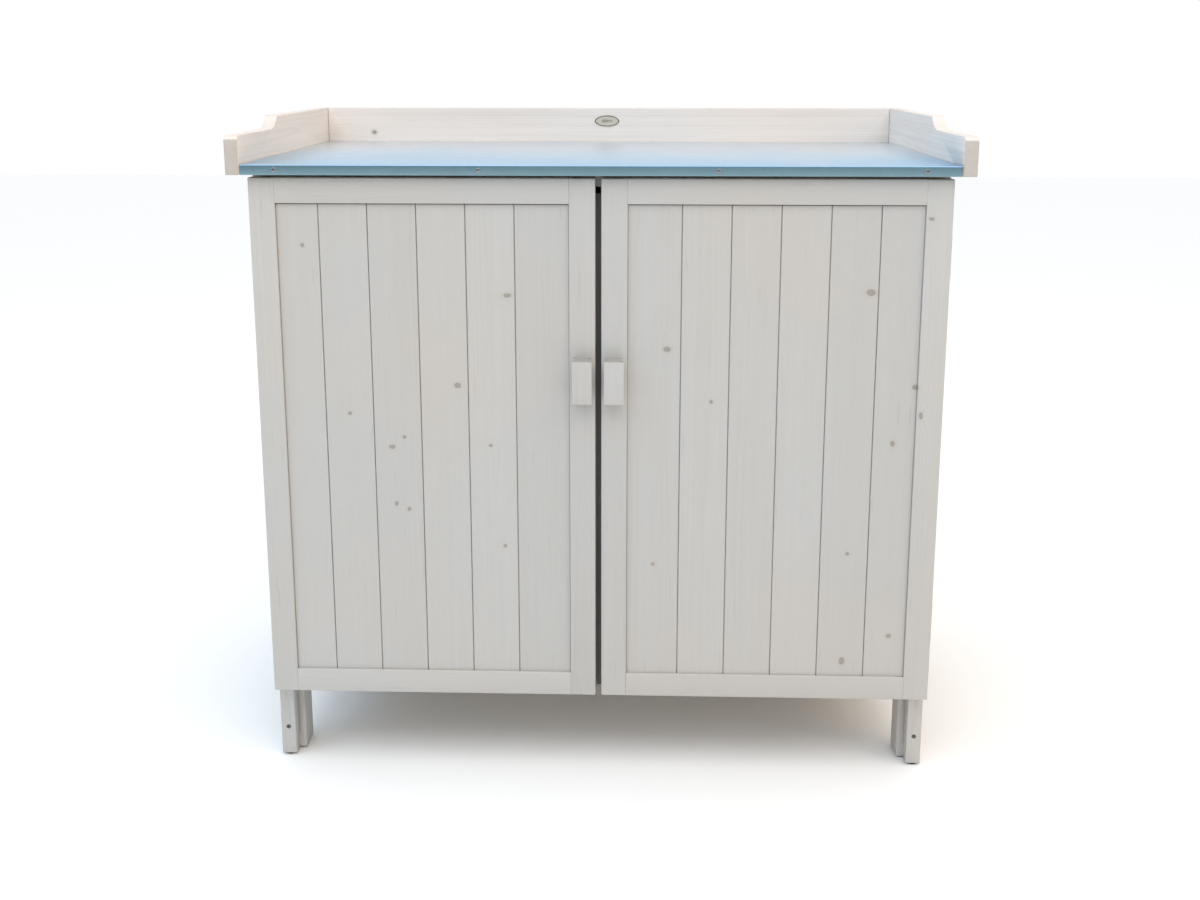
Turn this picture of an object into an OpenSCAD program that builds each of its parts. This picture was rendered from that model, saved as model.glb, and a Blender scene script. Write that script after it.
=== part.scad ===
// Potting bench: zinc-covered worktop with a low upstand, over a two-door cabinet.
// Millimetres. X runs to the right, Y to the back, Z up. The origin is on the floor, under the
// middle of the bench, with its handles counted in its depth.

/* [Bench] */
// Overall width, over the two side boards
bench_w = 980; // [820:1:1200]
// Depth along the side boards, without the handles
bench_d = 500; // [420:1:620]
// Overall height, to the top of the back board
bench_h = 925; // [800:1:1150]

/* [Worktop] */
// Height of the back board above the zinc surface
upstand_h = 56; // [45:1:120]
// Thickness of the board under the zinc
worktop_board_t = 12.4; // [9:0.1:20]
// Thickness of the zinc sheet
sheet_t = 0.8; // [0.5:0.1:1.5]
// How far the lip stands behind the front ends of the side boards
lip_inset = 2; // [1:0.5:8]
// Depth of the hem that the lip turns under the board
lip_hem = 10; // [5:0.5:20]
// Distance of the outer lip screws from the side boards
lip_screw_end = 46; // [20:1:80]
// Distance of the inner lip screws from the middle
lip_screw_mid = 157; // [80:1:220]

/* [Upstand boards] */
// Thickness of the side boards and the back board
upstand_t = 18; // [15:0.5:25]
// How much lower than the back board the front part of a side board is
side_drop = 18; // [8:1:30]
// Distance from the front end to the start of the curved step
step_start = 150; // [80:1:220]
// Length of the curved step, a hollow arc that ends in a crisp corner
step_len = 37; // [30:1:90]
// Radius of the front top corner of a side board
corner_r = 8; // [2:0.5:12]
// Width of the oval plaque
plaque_w = 41; // [25:0.5:60]
// Height of the oval plaque
plaque_h = 18; // [10:0.5:26]
// Thickness of the oval plaque
plaque_t = 1.5; // [0.8:0.1:3]

/* [Cabinet] */
// How far the side boards stand out beyond the cabinet's side walls
overhang = 25; // [20:1:60]
// Distance from the back of the upstand forward to the back of the cabinet
cabinet_back_inset = 12; // [0:1:40]
// Height of the doors' lower edge above the floor
floor_clearance = 115; // [80:1:180]
// Width of the strip in front of each front leg
strip_w = 21; // [18:0.5:28]
// Depth of that strip
strip_d = 18; // [15:0.5:25]
// Width of the legs
leg_w = 31; // [29:0.5:45]
// Depth of the front legs
front_leg_d = 38; // [30:0.5:50]
// Depth of the rear legs
rear_leg_d = 44; // [36:0.5:60]
// Thickness of the rails of the side walls and the back wall
rail_t = 18; // [15:0.5:21]
// Height of the top and bottom rails of the side walls and the back wall
wall_rail_h = 40; // [30:1:60]
// Height of the rail over the doors
top_rail_h = 18; // [15:0.5:21]
// Thickness of the tongue and groove boards
board_t = 10; // [8:0.5:12]
// Usual cover width of the wall and floor boards
board_cover = 62; // [50:1:90]
// Side of the square battens that carry the floor and the shelf
batten = 20; // [15:1:30]
// Height of the shelf's top above the floor boards
shelf_h = 350; // [200:1:450]
// Thickness of the shelf slats
slat_t = 16; // [12:0.5:22]
// Width of the shelf slats
slat_w = 64; // [50:1:90]
// Gap between the shelf slats
slat_gap = 8; // [4:0.5:15]
// Height of the plastic glides under the legs
glide_h = 3; // [2:0.5:8]
// Diameter of the glides
glide_d = 16; // [12:0.5:24]

/* [Doors] */
// Distance of the door fronts behind the lip
door_setback = 10; // [4:0.5:20]
// Thickness of the door frames
door_t = 20; // [18:0.5:26]
// Gap between the lip and the doors
door_top_gap = 4; // [2:0.5:10]
// Gap between the two doors
meeting_gap = 8; // [3:0.5:12]
// Gap between the doors and the strips, which holds the hinge leaves
hinge_gap = 3; // [2.8:0.1:5]
// Width of the door stiles
stile_w = 35; // [30:0.5:50]
// Height of the door rails
door_rail_h = 34; // [30:0.5:60]
// Depth of the grooves in stiles and rails
groove_depth = 8; // [6:0.5:12]
// Distance of the board faces behind the frame's face
panel_recess = 4; // [2:0.5:6]
// How much narrower the board beside the hinge stile is
first_trim = 9; // [0:0.5:20]
// How much wider the board beside the meeting stile is
last_extra = 7; // [0:0.5:20]
// Width of the stop strip behind the meeting gap
stop_w = 27.5; // [20:0.5:30]
// Thickness of the stop strip
stop_t = 9; // [4:0.5:12]
// Distance from the door's top edge to the stop strip
stop_top = 22; // [20:0.5:60]
// Distance from the door's bottom edge to the stop strip
stop_bottom = 5; // [2:0.5:60]
// Angle that each door opens, used to show it open
door_open = 0; // [0:5:175]

/* [Handles] */
// Width of a handle block
handle_w = 27; // [22:0.5:32]
// Height of a handle block
handle_h = 60; // [45:1:110]
// How far a handle stands out from the door
handle_d = 22; // [16:0.5:32]
// Radius of the finger grooves in its sides
finger_r = 9; // [6:0.5:11]
// Depth of the finger grooves
finger_depth = 5; // [3:0.5:7]
// Height of the handle's middle, below the door's top edge
handle_drop = 272; // [150:1:450]

/* [Hinges] */
// Length of a hinge
hinge_l = 62; // [45:1:90]
// Width of a hinge leaf on the wood
leaf_w = 18; // [14:0.5:19]
// Thickness of a hinge leaf
leaf_t = 1.2; // [0.8:0.1:1.3]
// Radius of the hinge pin
pin_r = 1.3; // [1:0.05:1.8]
// Radial clearance of the pin in the door's knuckles
pin_clear = 0.05; // [0.02:0.01:0.1]
// Distance from the door's ends to the hinge centres
hinge_end = 105; // [60:1:200]

/* [Fits] */
// Gap between neighbouring boards, tongues in their grooves
board_gap = 0.5; // [0.3:0.1:1.5]
// Gap at the ends of boards and tenons in their grooves
end_gap = 1; // [0.5:0.1:3]
// Gap between moving pieces
move_gap = 0.4; // [0.3:0.05:1]
// Radial clearance round the screws
screw_clear = 0.05; // [0.02:0.01:0.2]

/* [Hidden] */
$fn = 48;
eps = 0.01;
side_names = ["left", "right"];
door_board_count = 6;

// Upstand and worktop
handle_reach = max(0, handle_d - lip_inset - door_setback);
back_y = (bench_d + handle_reach) / 2;
front_y = back_y - bench_d;
worktop_h = bench_h - upstand_h;
lip_h = worktop_board_t + 2 * sheet_t;
inner_x = bench_w / 2 - upstand_t;
lip_y = front_y + lip_inset;
lip_bottom = worktop_h - lip_h;
cabinet_top = worktop_h - sheet_t - worktop_board_t;
board_front_y = lip_y + sheet_t;
board_back_y = back_y - upstand_t;
low_top = bench_h - side_drop;

// Doors
half_w = bench_w / 2 - overhang;
door_front = lip_y + door_setback;
door_back = door_front + door_t;
door_top = lip_bottom - door_top_gap;
door_bottom = floor_clearance;
door_inner_x = -meeting_gap / 2;
stile_inner_x = -half_w + stile_w;
stile_meet_x = door_inner_x - stile_w;
panel_w = stile_meet_x - stile_inner_x;
door_cover = (panel_w + first_trim - last_extra) / door_board_count;
panel_y = door_front + panel_recess;
panel_bottom = door_bottom + door_rail_h - groove_depth + end_gap;
panel_top = door_top - door_rail_h + groove_depth - end_gap;
handle_x = door_inner_x - stile_w / 2;
handle_z = door_top - handle_drop;
stop_x1 = -door_inner_x - 0.5;

// Cabinet
strip_front = door_back + hinge_gap;
leg_front = strip_front + strip_d;
leg_back = leg_front + front_leg_d;
cabinet_back = back_y - cabinet_back_inset;
rear_leg_front = cabinet_back - rear_leg_d;
leg_inner_x = half_w - leg_w;
strip_inner_x = half_w - strip_w;
wall_x = half_w - rail_t;
wall_in_x = wall_x - board_t;
back_board_y = cabinet_back - rail_t - board_t;
rail_bottom = floor_clearance - 12;
floor_top = floor_clearance + 24;
bottom_rail_y = door_back + stop_t + 3;
bottom_rail_z = floor_clearance + stop_bottom;
floor_front_y = bottom_rail_y + rail_t;
shelf_top = floor_top + shelf_h;
floor_x = min(leg_inner_x, wall_in_x);
slat_pitch = slat_w + slat_gap;
slat_count = floor((rear_leg_front - leg_back + slat_gap) / slat_pitch);
shelf_front_y = rear_leg_front - slat_count * slat_pitch + slat_gap;

// Tongue and groove
tongue_l = 5;
tongue_t = 3;
tongue_clear = 0.25;
board_chamfer = 1.2;

// Hinges: the knuckles stand just outside the door's edge, in the middle of the gap
knuckle_r = pin_r + leaf_t;
knuckle_count = 5;
hinge_x = -half_w - knuckle_r - move_gap;
hinge_y = door_back + hinge_gap / 2;
knuckle_pitch = hinge_l / knuckle_count;
hinge_zs = [door_bottom + hinge_end, door_top - hinge_end];
hinge_hole_zs = [-hinge_l / 2 + 10, 0, hinge_l / 2 - 10];
hinge_hole_x = -half_w + leaf_w * 0.55;

// Screws: [shank radius, head radius, head depth, length]
upstand_screw = [2, 4, 2.6, 42];
strip_screw = [2, 3.6, 2.4, 40];
hinge_screw = [1.4, 2.5, 1.1, 13];
handle_screw = [2, 3.8, 2.4, 34];
stop_screw = [1.5, 2.9, 1.8, 22];
plate_screw = [1.2, 2, 0.9, 11];
lip_screw_r = 1.6;
lip_screw_l = 20;
lip_head_r = 3.5;
lip_head_h = 1.4;

upstand_screw_z = cabinet_top + worktop_board_t / 2;
side_screw_ys = [for (i = [0:3]) front_y + 40 + i * (bench_d - 100) / 3];
back_screw_xs = [for (i = [0:4]) (i - 2) * (inner_x - 60) / 2];
lip_screw_xs = [-inner_x + lip_screw_end, -lip_screw_mid, lip_screw_mid, inner_x - lip_screw_end];
strip_screw_zs = [45, door_bottom + 60, (door_bottom + door_top) / 2, door_top - 60];
handle_screw_dz = handle_h / 2 - 14;
stop_screw_zs = [for (i = [0:4])
    door_bottom + stop_bottom + 25
        + i * (door_top - door_bottom - stop_top - stop_bottom - 50) / 4];

// Magnetic catches
catch_x = 60;
catch_w = 38;
catch_h = 14;
catch_d = 14;
plate_w = 30;
plate_h = 11;
plate_t = 1.1;
plate_z = cabinet_top - top_rail_h - catch_h / 2;

// Glides, pinned into the front strips and the rear legs
glide_pin_r = 1.25;
glide_pin_l = 10;
front_glide_y = strip_front + strip_d / 2;
rear_glide_y = rear_leg_front + rear_leg_d / 2;
front_glide_x = half_w - strip_w / 2;
rear_glide_x = half_w - leg_w / 2;

// ---- Colours ----

module limewash() { color([0.81, 0.79, 0.76]) children(); }
module inside_wood() { color([0.78, 0.74, 0.68]) children(); }
module zinc() { color([0.62, 0.69, 0.76]) children(); }
module steel() { color([0.55, 0.56, 0.58]) children(); }
module dark_plastic() { color([0.08, 0.08, 0.08]) children(); }

// ---- Shared shapes ----

// A box given by its lowest and highest corners
module block(lo, hi) { translate(lo) cube(hi - lo); }

// What is drawn for the left side, placed on side 0 (left) or 1 (right)
module on_side(side) { mirror([side, 0, 0]) children(); }

// Countersunk screw along +Z, its head's face at z = 0 and its point at z = length
module screw(s, clear = 0) {
    cylinder(r1 = s[1] + clear, r2 = s[0] + clear, h = s[2]);
    translate([0, 0, s[2] - eps]) cylinder(r = s[0] + clear, h = s[3] - s[2] + eps + clear);
}

// Section of a board from x = 0 to x = w: groove at x = 0, tongue at x = w
module board_section(w, has_groove, has_tongue) {
    c = board_chamfer;
    mid = board_t / 2;
    g = tongue_t / 2 + tongue_clear;
    difference() {
        polygon([[0, c], [c, 0], [w - board_gap - c, 0], [w - board_gap, c],
                 [w - board_gap, board_t], [0, board_t]]);
        if (has_groove)
            translate([-eps, mid - g]) square([tongue_l + tongue_clear + eps, 2 * g]);
    }
    if (has_tongue)
        translate([w - board_gap - eps, mid - tongue_t / 2])
            square([tongue_l + eps, tongue_t]);
}

// One upright board: section in X and Y, face to the front, from z0 to z1
module upright_board(x, w, z0, z1, has_groove, has_tongue) {
    translate([x, 0, z0]) linear_extrude(z1 - z0) board_section(w, has_groove, has_tongue);
}

// A row of equal boards that fills a width, as separate solids; the length runs along Z
module board_row(width, length) {
    count = max(1, round(width / board_cover));
    cover = width / count;
    for (i = [0:count - 1])
        upright_board(i * cover, i == count - 1 ? cover + board_gap : cover, 0, length,
            i > 0, i < count - 1);
}

// ---- Worktop and upstand ----

module worktop_board() {
    inside_wood() difference() {
        block([-inner_x, board_front_y, cabinet_top],
              [inner_x, board_back_y, cabinet_top + worktop_board_t]);
        upstand_screw_places() screw(upstand_screw, screw_clear);
        lip_screw_places() cylinder(r = lip_screw_r + screw_clear, h = lip_screw_l + 1);
    }
}

module zinc_sheet() {
    zinc() difference() {
        union() {
            block([-inner_x, lip_y, worktop_h - sheet_t], [inner_x, board_back_y, worktop_h]);
            block([-inner_x, lip_y, lip_bottom],
                  [inner_x, lip_y + sheet_t, worktop_h]);
            block([-inner_x, lip_y, lip_bottom],
                  [inner_x, lip_y + lip_hem, cabinet_top]);
        }
        lip_screw_places() translate([0, 0, -1])
            cylinder(r = lip_screw_r + screw_clear, h = sheet_t + 2);
    }
}

// Outline of a side board in Y and Z: low front with a round corner, hollow step, high rear
module side_outline() {
    arc_r = (step_len * step_len + side_drop * side_drop) / (2 * side_drop);
    arc_a = asin(step_len / arc_r);
    s0 = front_y + step_start;
    steps = 14;
    polygon(concat(
        [[front_y, lip_bottom]],
        [for (i = [0:6]) [front_y + corner_r * (1 - cos(i * 15)),
                          low_top - corner_r * (1 - sin(i * 15))]],
        [for (i = [0:steps]) [s0 + arc_r * sin(i * arc_a / steps),
                              low_top + arc_r * (1 - cos(i * arc_a / steps))]],
        [[back_y, bench_h], [back_y, lip_bottom]]));
}

module side_board(side) {
    limewash() difference() {
        on_side(side) translate([-bench_w / 2, 0, 0])
            rotate([90, 0, 90]) linear_extrude(upstand_t) side_outline();
        upstand_screw_places() screw(upstand_screw, screw_clear);
    }
}

module left_side_board() { side_board(0); }
module right_side_board() { side_board(1); }

module back_board() {
    limewash() difference() {
        block([-inner_x, board_back_y, cabinet_top], [inner_x, back_y, bench_h]);
        upstand_screw_places() screw(upstand_screw, screw_clear);
    }
}

module oval_plaque() {
    color([0.72, 0.68, 0.60])
        translate([0, board_back_y, worktop_h + upstand_h * 0.62])
            rotate([90, 0, 0]) scale([1, plaque_h / plaque_w, 1])
                cylinder(d = plaque_w, h = plaque_t, $fn = 72);
}

// Places children at each upstand screw, +Z pointing into the wood
module upstand_screw_places() {
    for (side = [0, 1]) on_side(side) for (y = side_screw_ys)
        translate([-bench_w / 2, y, upstand_screw_z]) rotate([0, 90, 0]) children();
    for (x = back_screw_xs)
        translate([x, back_y, upstand_screw_z]) rotate([90, 0, 0]) children();
}

module upstand_screws() { steel() upstand_screw_places() screw(upstand_screw); }

// Places children at each lip screw, +Z pointing into the board
module lip_screw_places() {
    for (x = lip_screw_xs)
        translate([x, lip_y, worktop_h - lip_h / 2]) rotate([-90, 0, 0]) children();
}

module lip_screws() {
    steel() lip_screw_places() {
        cylinder(r = lip_screw_r, h = lip_screw_l);
        difference() {
            translate([0, 0, -lip_head_h]) cylinder(r1 = lip_head_r * 0.7, r2 = lip_head_r,
                h = lip_head_h);
            translate([0, 0, -lip_head_h - eps]) {
                cube([0.9, 4, 1.2], center = true);
                cube([4, 0.9, 1.2], center = true);
            }
        }
    }
}

// ---- Cabinet frame ----

module front_leg(side) {
    limewash() difference() {
        on_side(side) block([-half_w, leg_front, glide_h], [-leg_inner_x, leg_back, cabinet_top]);
        strip_screw_places() screw(strip_screw, screw_clear);
    }
}

module front_left_leg() { front_leg(0); }
module front_right_leg() { front_leg(1); }

module rear_leg(side) {
    limewash() difference() {
        on_side(side) block([-half_w, rear_leg_front, glide_h],
                            [-leg_inner_x, cabinet_back, cabinet_top]);
        glide_places() glide_pin(screw_clear);
    }
}

module rear_left_leg() { rear_leg(0); }
module rear_right_leg() { rear_leg(1); }

module front_strip(side) {
    limewash() difference() {
        on_side(side) block([-half_w, strip_front, glide_h],
                            [-strip_inner_x, leg_front, cabinet_top]);
        strip_screw_places() screw(strip_screw, screw_clear);
        hinge_frame_screw_places() screw(hinge_screw, screw_clear);
        glide_places() glide_pin(screw_clear);
    }
}

module left_front_strip() { front_strip(0); }
module right_front_strip() { front_strip(1); }

module front_top_rail() {
    limewash() block([-strip_inner_x, strip_front, cabinet_top - top_rail_h],
                     [strip_inner_x, leg_front, cabinet_top]);
}

module front_bottom_rail() {
    limewash() block([-leg_inner_x, bottom_rail_y, bottom_rail_z],
                     [leg_inner_x, floor_front_y, floor_top]);
}

module side_wall_rails() {
    limewash() for (side = [0, 1]) on_side(side) {
        block([-half_w, leg_back, cabinet_top - wall_rail_h],
              [-wall_x, rear_leg_front, cabinet_top]);
        block([-half_w, leg_back, rail_bottom],
              [-wall_x, rear_leg_front, rail_bottom + wall_rail_h]);
    }
}

module rear_rails() {
    limewash() for (z = [rail_bottom, cabinet_top - wall_rail_h])
        block([-leg_inner_x, cabinet_back - rail_t, z],
              [leg_inner_x, cabinet_back, z + wall_rail_h]);
}

// Boards of a side wall: upright, against the rails, from front leg to rear leg
module side_wall_boards(side) {
    limewash() on_side(side) translate([-wall_x, rear_leg_front, rail_bottom])
        rotate([0, 0, -90])
            board_row(rear_leg_front - leg_back, cabinet_top - rail_bottom);
}

module left_wall_boards() { side_wall_boards(0); }
module right_wall_boards() { side_wall_boards(1); }

module back_wall_boards() {
    limewash() translate([leg_inner_x, cabinet_back - rail_t, rail_bottom])
        rotate([0, 0, 180]) board_row(2 * leg_inner_x, cabinet_top - rail_bottom);
}

module floor_boards() {
    inside_wood() translate([-floor_x, back_board_y, floor_top])
        rotate([90, 0, 0]) mirror([0, 1, 0])
            board_row(2 * floor_x, back_board_y - floor_front_y);
}

// Two battens under the floor and one at each end of the shelf
module inner_battens() {
    inside_wood() {
        for (y = [floor_front_y, back_board_y - batten])
            block([-floor_x, y, floor_top - board_t - batten],
                  [floor_x, y + batten, floor_top - board_t]);
        for (side = [0, 1]) on_side(side)
            block([-wall_in_x, shelf_front_y, shelf_top - slat_t - batten],
                  [-wall_in_x + batten, rear_leg_front, shelf_top - slat_t]);
    }
}

module shelf_slats() {
    inside_wood() for (i = [0:slat_count - 1]) {
        y0 = shelf_front_y + i * slat_pitch;
        block([-wall_in_x, y0, shelf_top - slat_t], [wall_in_x, y0 + slat_w, shelf_top]);
    }
}

// Places children under each leg, +Z pointing up
module glide_places() {
    for (side = [0, 1]) on_side(side) {
        translate([-front_glide_x, front_glide_y, 0]) children();
        translate([-rear_glide_x, rear_glide_y, 0]) children();
    }
}

module glide_pin(clear = 0) {
    cylinder(r = glide_pin_r + clear, h = glide_h + glide_pin_l + clear);
}

module foot_glides() {
    dark_plastic() glide_places() {
        cylinder(r1 = glide_d / 2 - 1, r2 = glide_d / 2, h = 1);
        translate([0, 0, 1]) cylinder(d = glide_d, h = glide_h - 1);
        glide_pin();
    }
}

// Places children at each strip screw, +Z pointing into the wood
module strip_screw_places() {
    for (side = [0, 1]) on_side(side) for (z = strip_screw_zs)
        translate([-half_w + strip_w / 2, strip_front, z]) rotate([-90, 0, 0]) children();
}

module strip_screws() { steel() strip_screw_places() screw(strip_screw); }

module magnet_catches() {
    front = door_back + plate_t + move_gap;
    z1 = cabinet_top - top_rail_h;
    color([0.45, 0.30, 0.18]) for (side = [0, 1]) on_side(side)
        block([-catch_x - catch_w / 2, front, z1 - catch_h],
              [-catch_x + catch_w / 2, front + catch_d, z1]);
}

// ---- Hinges ----

// Knuckles of one hinge, numbered from the bottom; the frame leaf has 0, 2 and 4
module knuckles(which, bore) {
    for (i = which) translate([0, 0, -hinge_l / 2 + i * knuckle_pitch + move_gap / 2])
        difference() {
            children();
            translate([0, 0, -eps]) cylinder(r = bore, h = knuckle_pitch);
        }
}

// A leaf lies against the wood on one side of the gap: dir is -1 for the door, 1 for the frame
module leaf(which, dir, bore) {
    far = hinge_gap / 2;
    near = far - leaf_t;
    len = knuckle_pitch - move_gap;
    difference() {
        union() {
            knuckles(which, bore) union() {
                cylinder(r = knuckle_r, h = len);
                translate([0, dir > 0 ? near : -far, 0])
                    cube([-half_w - hinge_x + eps, leaf_t, len]);
            }
            translate([-half_w - hinge_x, dir > 0 ? near : -far, -hinge_l / 2 + move_gap / 2])
                cube([leaf_w, leaf_t, hinge_l - move_gap]);
        }
        for (z = hinge_hole_zs) translate([hinge_hole_x - hinge_x, 0, z])
            rotate([dir > 0 ? -90 : 90, 0, 0]) translate([0, 0, near])
                screw(hinge_screw, screw_clear);
    }
}

module hinge_frame_leaves() {
    steel() for (side = [0, 1], z = hinge_zs) on_side(side)
        translate([hinge_x, hinge_y, z]) leaf([0, 2, 4], 1, pin_r);
}

module hinge_pins() {
    steel() for (side = [0, 1], z = hinge_zs) on_side(side)
        translate([hinge_x, hinge_y, z - hinge_l / 2])
            cylinder(r = pin_r, h = hinge_l);
}

// Places children at each screw of the frame leaves, +Z pointing into the strip
module hinge_frame_screw_places() {
    for (side = [0, 1], hz = hinge_zs, dz = hinge_hole_zs) on_side(side)
        translate([hinge_hole_x, hinge_y + hinge_gap / 2 - leaf_t, hz + dz])
            rotate([-90, 0, 0]) children();
}

module hinge_frame_screws() { steel() hinge_frame_screw_places() screw(hinge_screw); }

// ---- Doors, drawn for the left side ----

// Turns a door about its hinge line, to show it open
module swing(side) {
    on_side(side) translate([hinge_x, hinge_y, 0]) rotate([0, 0, -door_open])
        translate([-hinge_x, -hinge_y, 0]) children();
}

// Places children at each screw of a door, +Z pointing into the wood
module door_hinge_screw_places() {
    for (hz = hinge_zs, dz = hinge_hole_zs)
        translate([hinge_hole_x, hinge_y - hinge_gap / 2 + leaf_t, hz + dz])
            rotate([90, 0, 0]) children();
}

module handle_screw_places() {
    for (dz = [-handle_screw_dz, handle_screw_dz])
        translate([handle_x, door_back, handle_z + dz]) rotate([90, 0, 0]) children();
}

module stop_screw_places() {
    for (z = stop_screw_zs)
        translate([stop_x1 - stop_w * 0.6, door_back + stop_t, z]) rotate([90, 0, 0]) children();
}

module plate_screw_places() {
    for (dx = [-9, 9])
        translate([-catch_x + dx, door_back + plate_t, plate_z]) rotate([90, 0, 0]) children();
}

// Groove of the frame pieces, as a slot between two X or Z limits
module groove_slot(lo_x, hi_x, lo_z, hi_z) {
    block([lo_x, panel_y, lo_z], [hi_x, panel_y + board_t, hi_z]);
}

module outer_stile(side) {
    limewash() swing(side) difference() {
        block([-half_w, door_front, door_bottom], [stile_inner_x, door_back, door_top]);
        groove_slot(stile_inner_x - groove_depth, stile_inner_x + eps,
                    door_bottom - eps, door_top + eps);
        door_hinge_screw_places() screw(hinge_screw, screw_clear);
    }
}

module inner_stile(side, has_stop) {
    limewash() swing(side) difference() {
        block([stile_meet_x, door_front, door_bottom], [door_inner_x, door_back, door_top]);
        groove_slot(stile_meet_x - eps, stile_meet_x + groove_depth,
                    door_bottom - eps, door_top + eps);
        handle_screw_places() screw(handle_screw, screw_clear);
        if (has_stop) stop_screw_places() screw(stop_screw, screw_clear);
    }
}

// Rail between the stiles, with stub tenons in their grooves; in_z is the edge with the groove
module door_rail(side, z0, z1, in_lo, in_hi, has_plate) {
    tenon = groove_depth - end_gap;
    limewash() swing(side) difference() {
        union() {
            block([stile_inner_x, door_front, z0], [stile_meet_x, door_back, z1]);
            groove_slot(stile_inner_x - tenon, stile_meet_x + tenon, z0, z1);
        }
        groove_slot(stile_inner_x - groove_depth - eps, stile_meet_x + groove_depth + eps,
                    in_lo, in_hi);
        if (has_plate) plate_screw_places() screw(plate_screw, screw_clear);
    }
}

module door_top_rail(side) {
    z0 = door_top - door_rail_h;
    door_rail(side, z0, door_top, z0 - eps, z0 + groove_depth, true);
}

module door_bottom_rail(side) {
    z1 = door_bottom + door_rail_h;
    door_rail(side, door_bottom, z1, z1 - groove_depth, z1 + eps, false);
}

// Boards are numbered from the hinge stile; the first and the last reach into the grooves
module door_board(side, n) {
    in_groove = groove_depth - end_gap;
    first_w = door_cover - first_trim;
    x0 = n == 1 ? stile_inner_x - in_groove
                : stile_inner_x + first_w + (n - 2) * door_cover;
    x1 = n == door_board_count ? stile_meet_x + in_groove + board_gap
                               : stile_inner_x + first_w + (n - 1) * door_cover;
    limewash() swing(side) translate([0, panel_y, 0])
        upright_board(x0, x1 - x0, panel_bottom, panel_top, n > 1, n < door_board_count);
}

module door_handle(side) {
    x0 = handle_x - handle_w / 2;
    x1 = handle_x + handle_w / 2;
    groove_y = door_front - finger_r + 1;
    limewash() swing(side) difference() {
        block([x0, door_front - handle_d, handle_z - handle_h / 2],
              [x1, door_front, handle_z + handle_h / 2]);
        for (x = [x0 - finger_r + finger_depth, x1 + finger_r - finger_depth])
            translate([x, groove_y, handle_z - handle_h / 2 - 1])
                cylinder(r = finger_r, h = handle_h + 2);
        handle_screw_places() screw(handle_screw, screw_clear);
    }
}

module door_hinge_leaves(side) {
    steel() swing(side) for (z = hinge_zs)
        translate([hinge_x, hinge_y, z]) leaf([1, 3], -1, pin_r + pin_clear);
}

module door_screws(side, has_stop) {
    steel() swing(side) {
        door_hinge_screw_places() screw(hinge_screw);
        handle_screw_places() screw(handle_screw);
        plate_screw_places() screw(plate_screw);
        if (has_stop) stop_screw_places() screw(stop_screw);
    }
}

module catch_plate(side) {
    steel() swing(side) difference() {
        block([-catch_x - plate_w / 2, door_back, plate_z - plate_h / 2],
              [-catch_x + plate_w / 2, door_back + plate_t, plate_z + plate_h / 2]);
        plate_screw_places() screw(plate_screw, screw_clear);
    }
}

module left_door_stop_strip() {
    limewash() swing(0) difference() {
        block([stop_x1 - stop_w, door_back, door_bottom + stop_bottom],
              [stop_x1, door_back + stop_t, door_top - stop_top]);
        stop_screw_places() screw(stop_screw, screw_clear);
    }
}

worktop_board();
zinc_sheet();
left_side_board();
right_side_board();
back_board();
oval_plaque();
lip_screws();
upstand_screws();
front_left_leg();
front_right_leg();
rear_left_leg();
rear_right_leg();
left_front_strip();
right_front_strip();
front_top_rail();
front_bottom_rail();
side_wall_rails();
rear_rails();
left_wall_boards();
right_wall_boards();
back_wall_boards();
inner_battens();
floor_boards();
shelf_slats();
foot_glides();
strip_screws();
magnet_catches();
hinge_frame_leaves();
hinge_pins();
hinge_frame_screws();
for (side = [0, 1]) {
    name = str(side_names[side], "_door_");
    outer_stile(side);
    inner_stile(side, side == 0);
    door_top_rail(side);
    door_bottom_rail(side);
    for (n = [1:door_board_count])
        door_board(side, n);
    door_handle(side);
    door_hinge_leaves(side);
    door_screws(side, side == 0);
    catch_plate(side);
}
left_door_stop_strip();
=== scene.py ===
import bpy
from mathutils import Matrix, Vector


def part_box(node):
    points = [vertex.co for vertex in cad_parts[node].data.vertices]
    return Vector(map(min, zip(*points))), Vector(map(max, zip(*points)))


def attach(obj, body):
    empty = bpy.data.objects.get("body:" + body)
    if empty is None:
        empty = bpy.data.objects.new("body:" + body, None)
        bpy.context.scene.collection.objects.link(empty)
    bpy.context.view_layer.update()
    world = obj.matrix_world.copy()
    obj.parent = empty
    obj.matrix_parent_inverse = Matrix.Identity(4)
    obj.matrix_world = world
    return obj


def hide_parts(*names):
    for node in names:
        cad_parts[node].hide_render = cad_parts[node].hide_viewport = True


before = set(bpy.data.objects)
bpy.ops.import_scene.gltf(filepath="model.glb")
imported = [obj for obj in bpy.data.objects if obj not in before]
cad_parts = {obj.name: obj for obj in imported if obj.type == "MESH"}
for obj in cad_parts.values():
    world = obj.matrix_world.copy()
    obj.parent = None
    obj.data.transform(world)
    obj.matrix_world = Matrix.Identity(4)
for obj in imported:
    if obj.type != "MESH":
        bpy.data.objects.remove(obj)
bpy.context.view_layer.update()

import math
import random

import bmesh
import bpy
import numpy as np
from bpy.props import FloatProperty, FloatVectorProperty, PointerProperty
from mathutils import Matrix, Vector

bl_info = {
    "name": "Potting bench",
    "version": (1, 0, 0),
    "blender": (4, 5, 0),
    "location": "3D View > Sidebar > Potting bench",
    "description": "Builds the timber, zinc and fittings of a two-door potting bench",
    "category": "Object",
}

MM = 0.001

# The longest side of a timber is its fibre: the other two sides follow it in turn
FIBRE_ORDER = {0: (1, 2, 0), 1: (2, 0, 1), 2: (0, 1, 2)}

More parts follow.
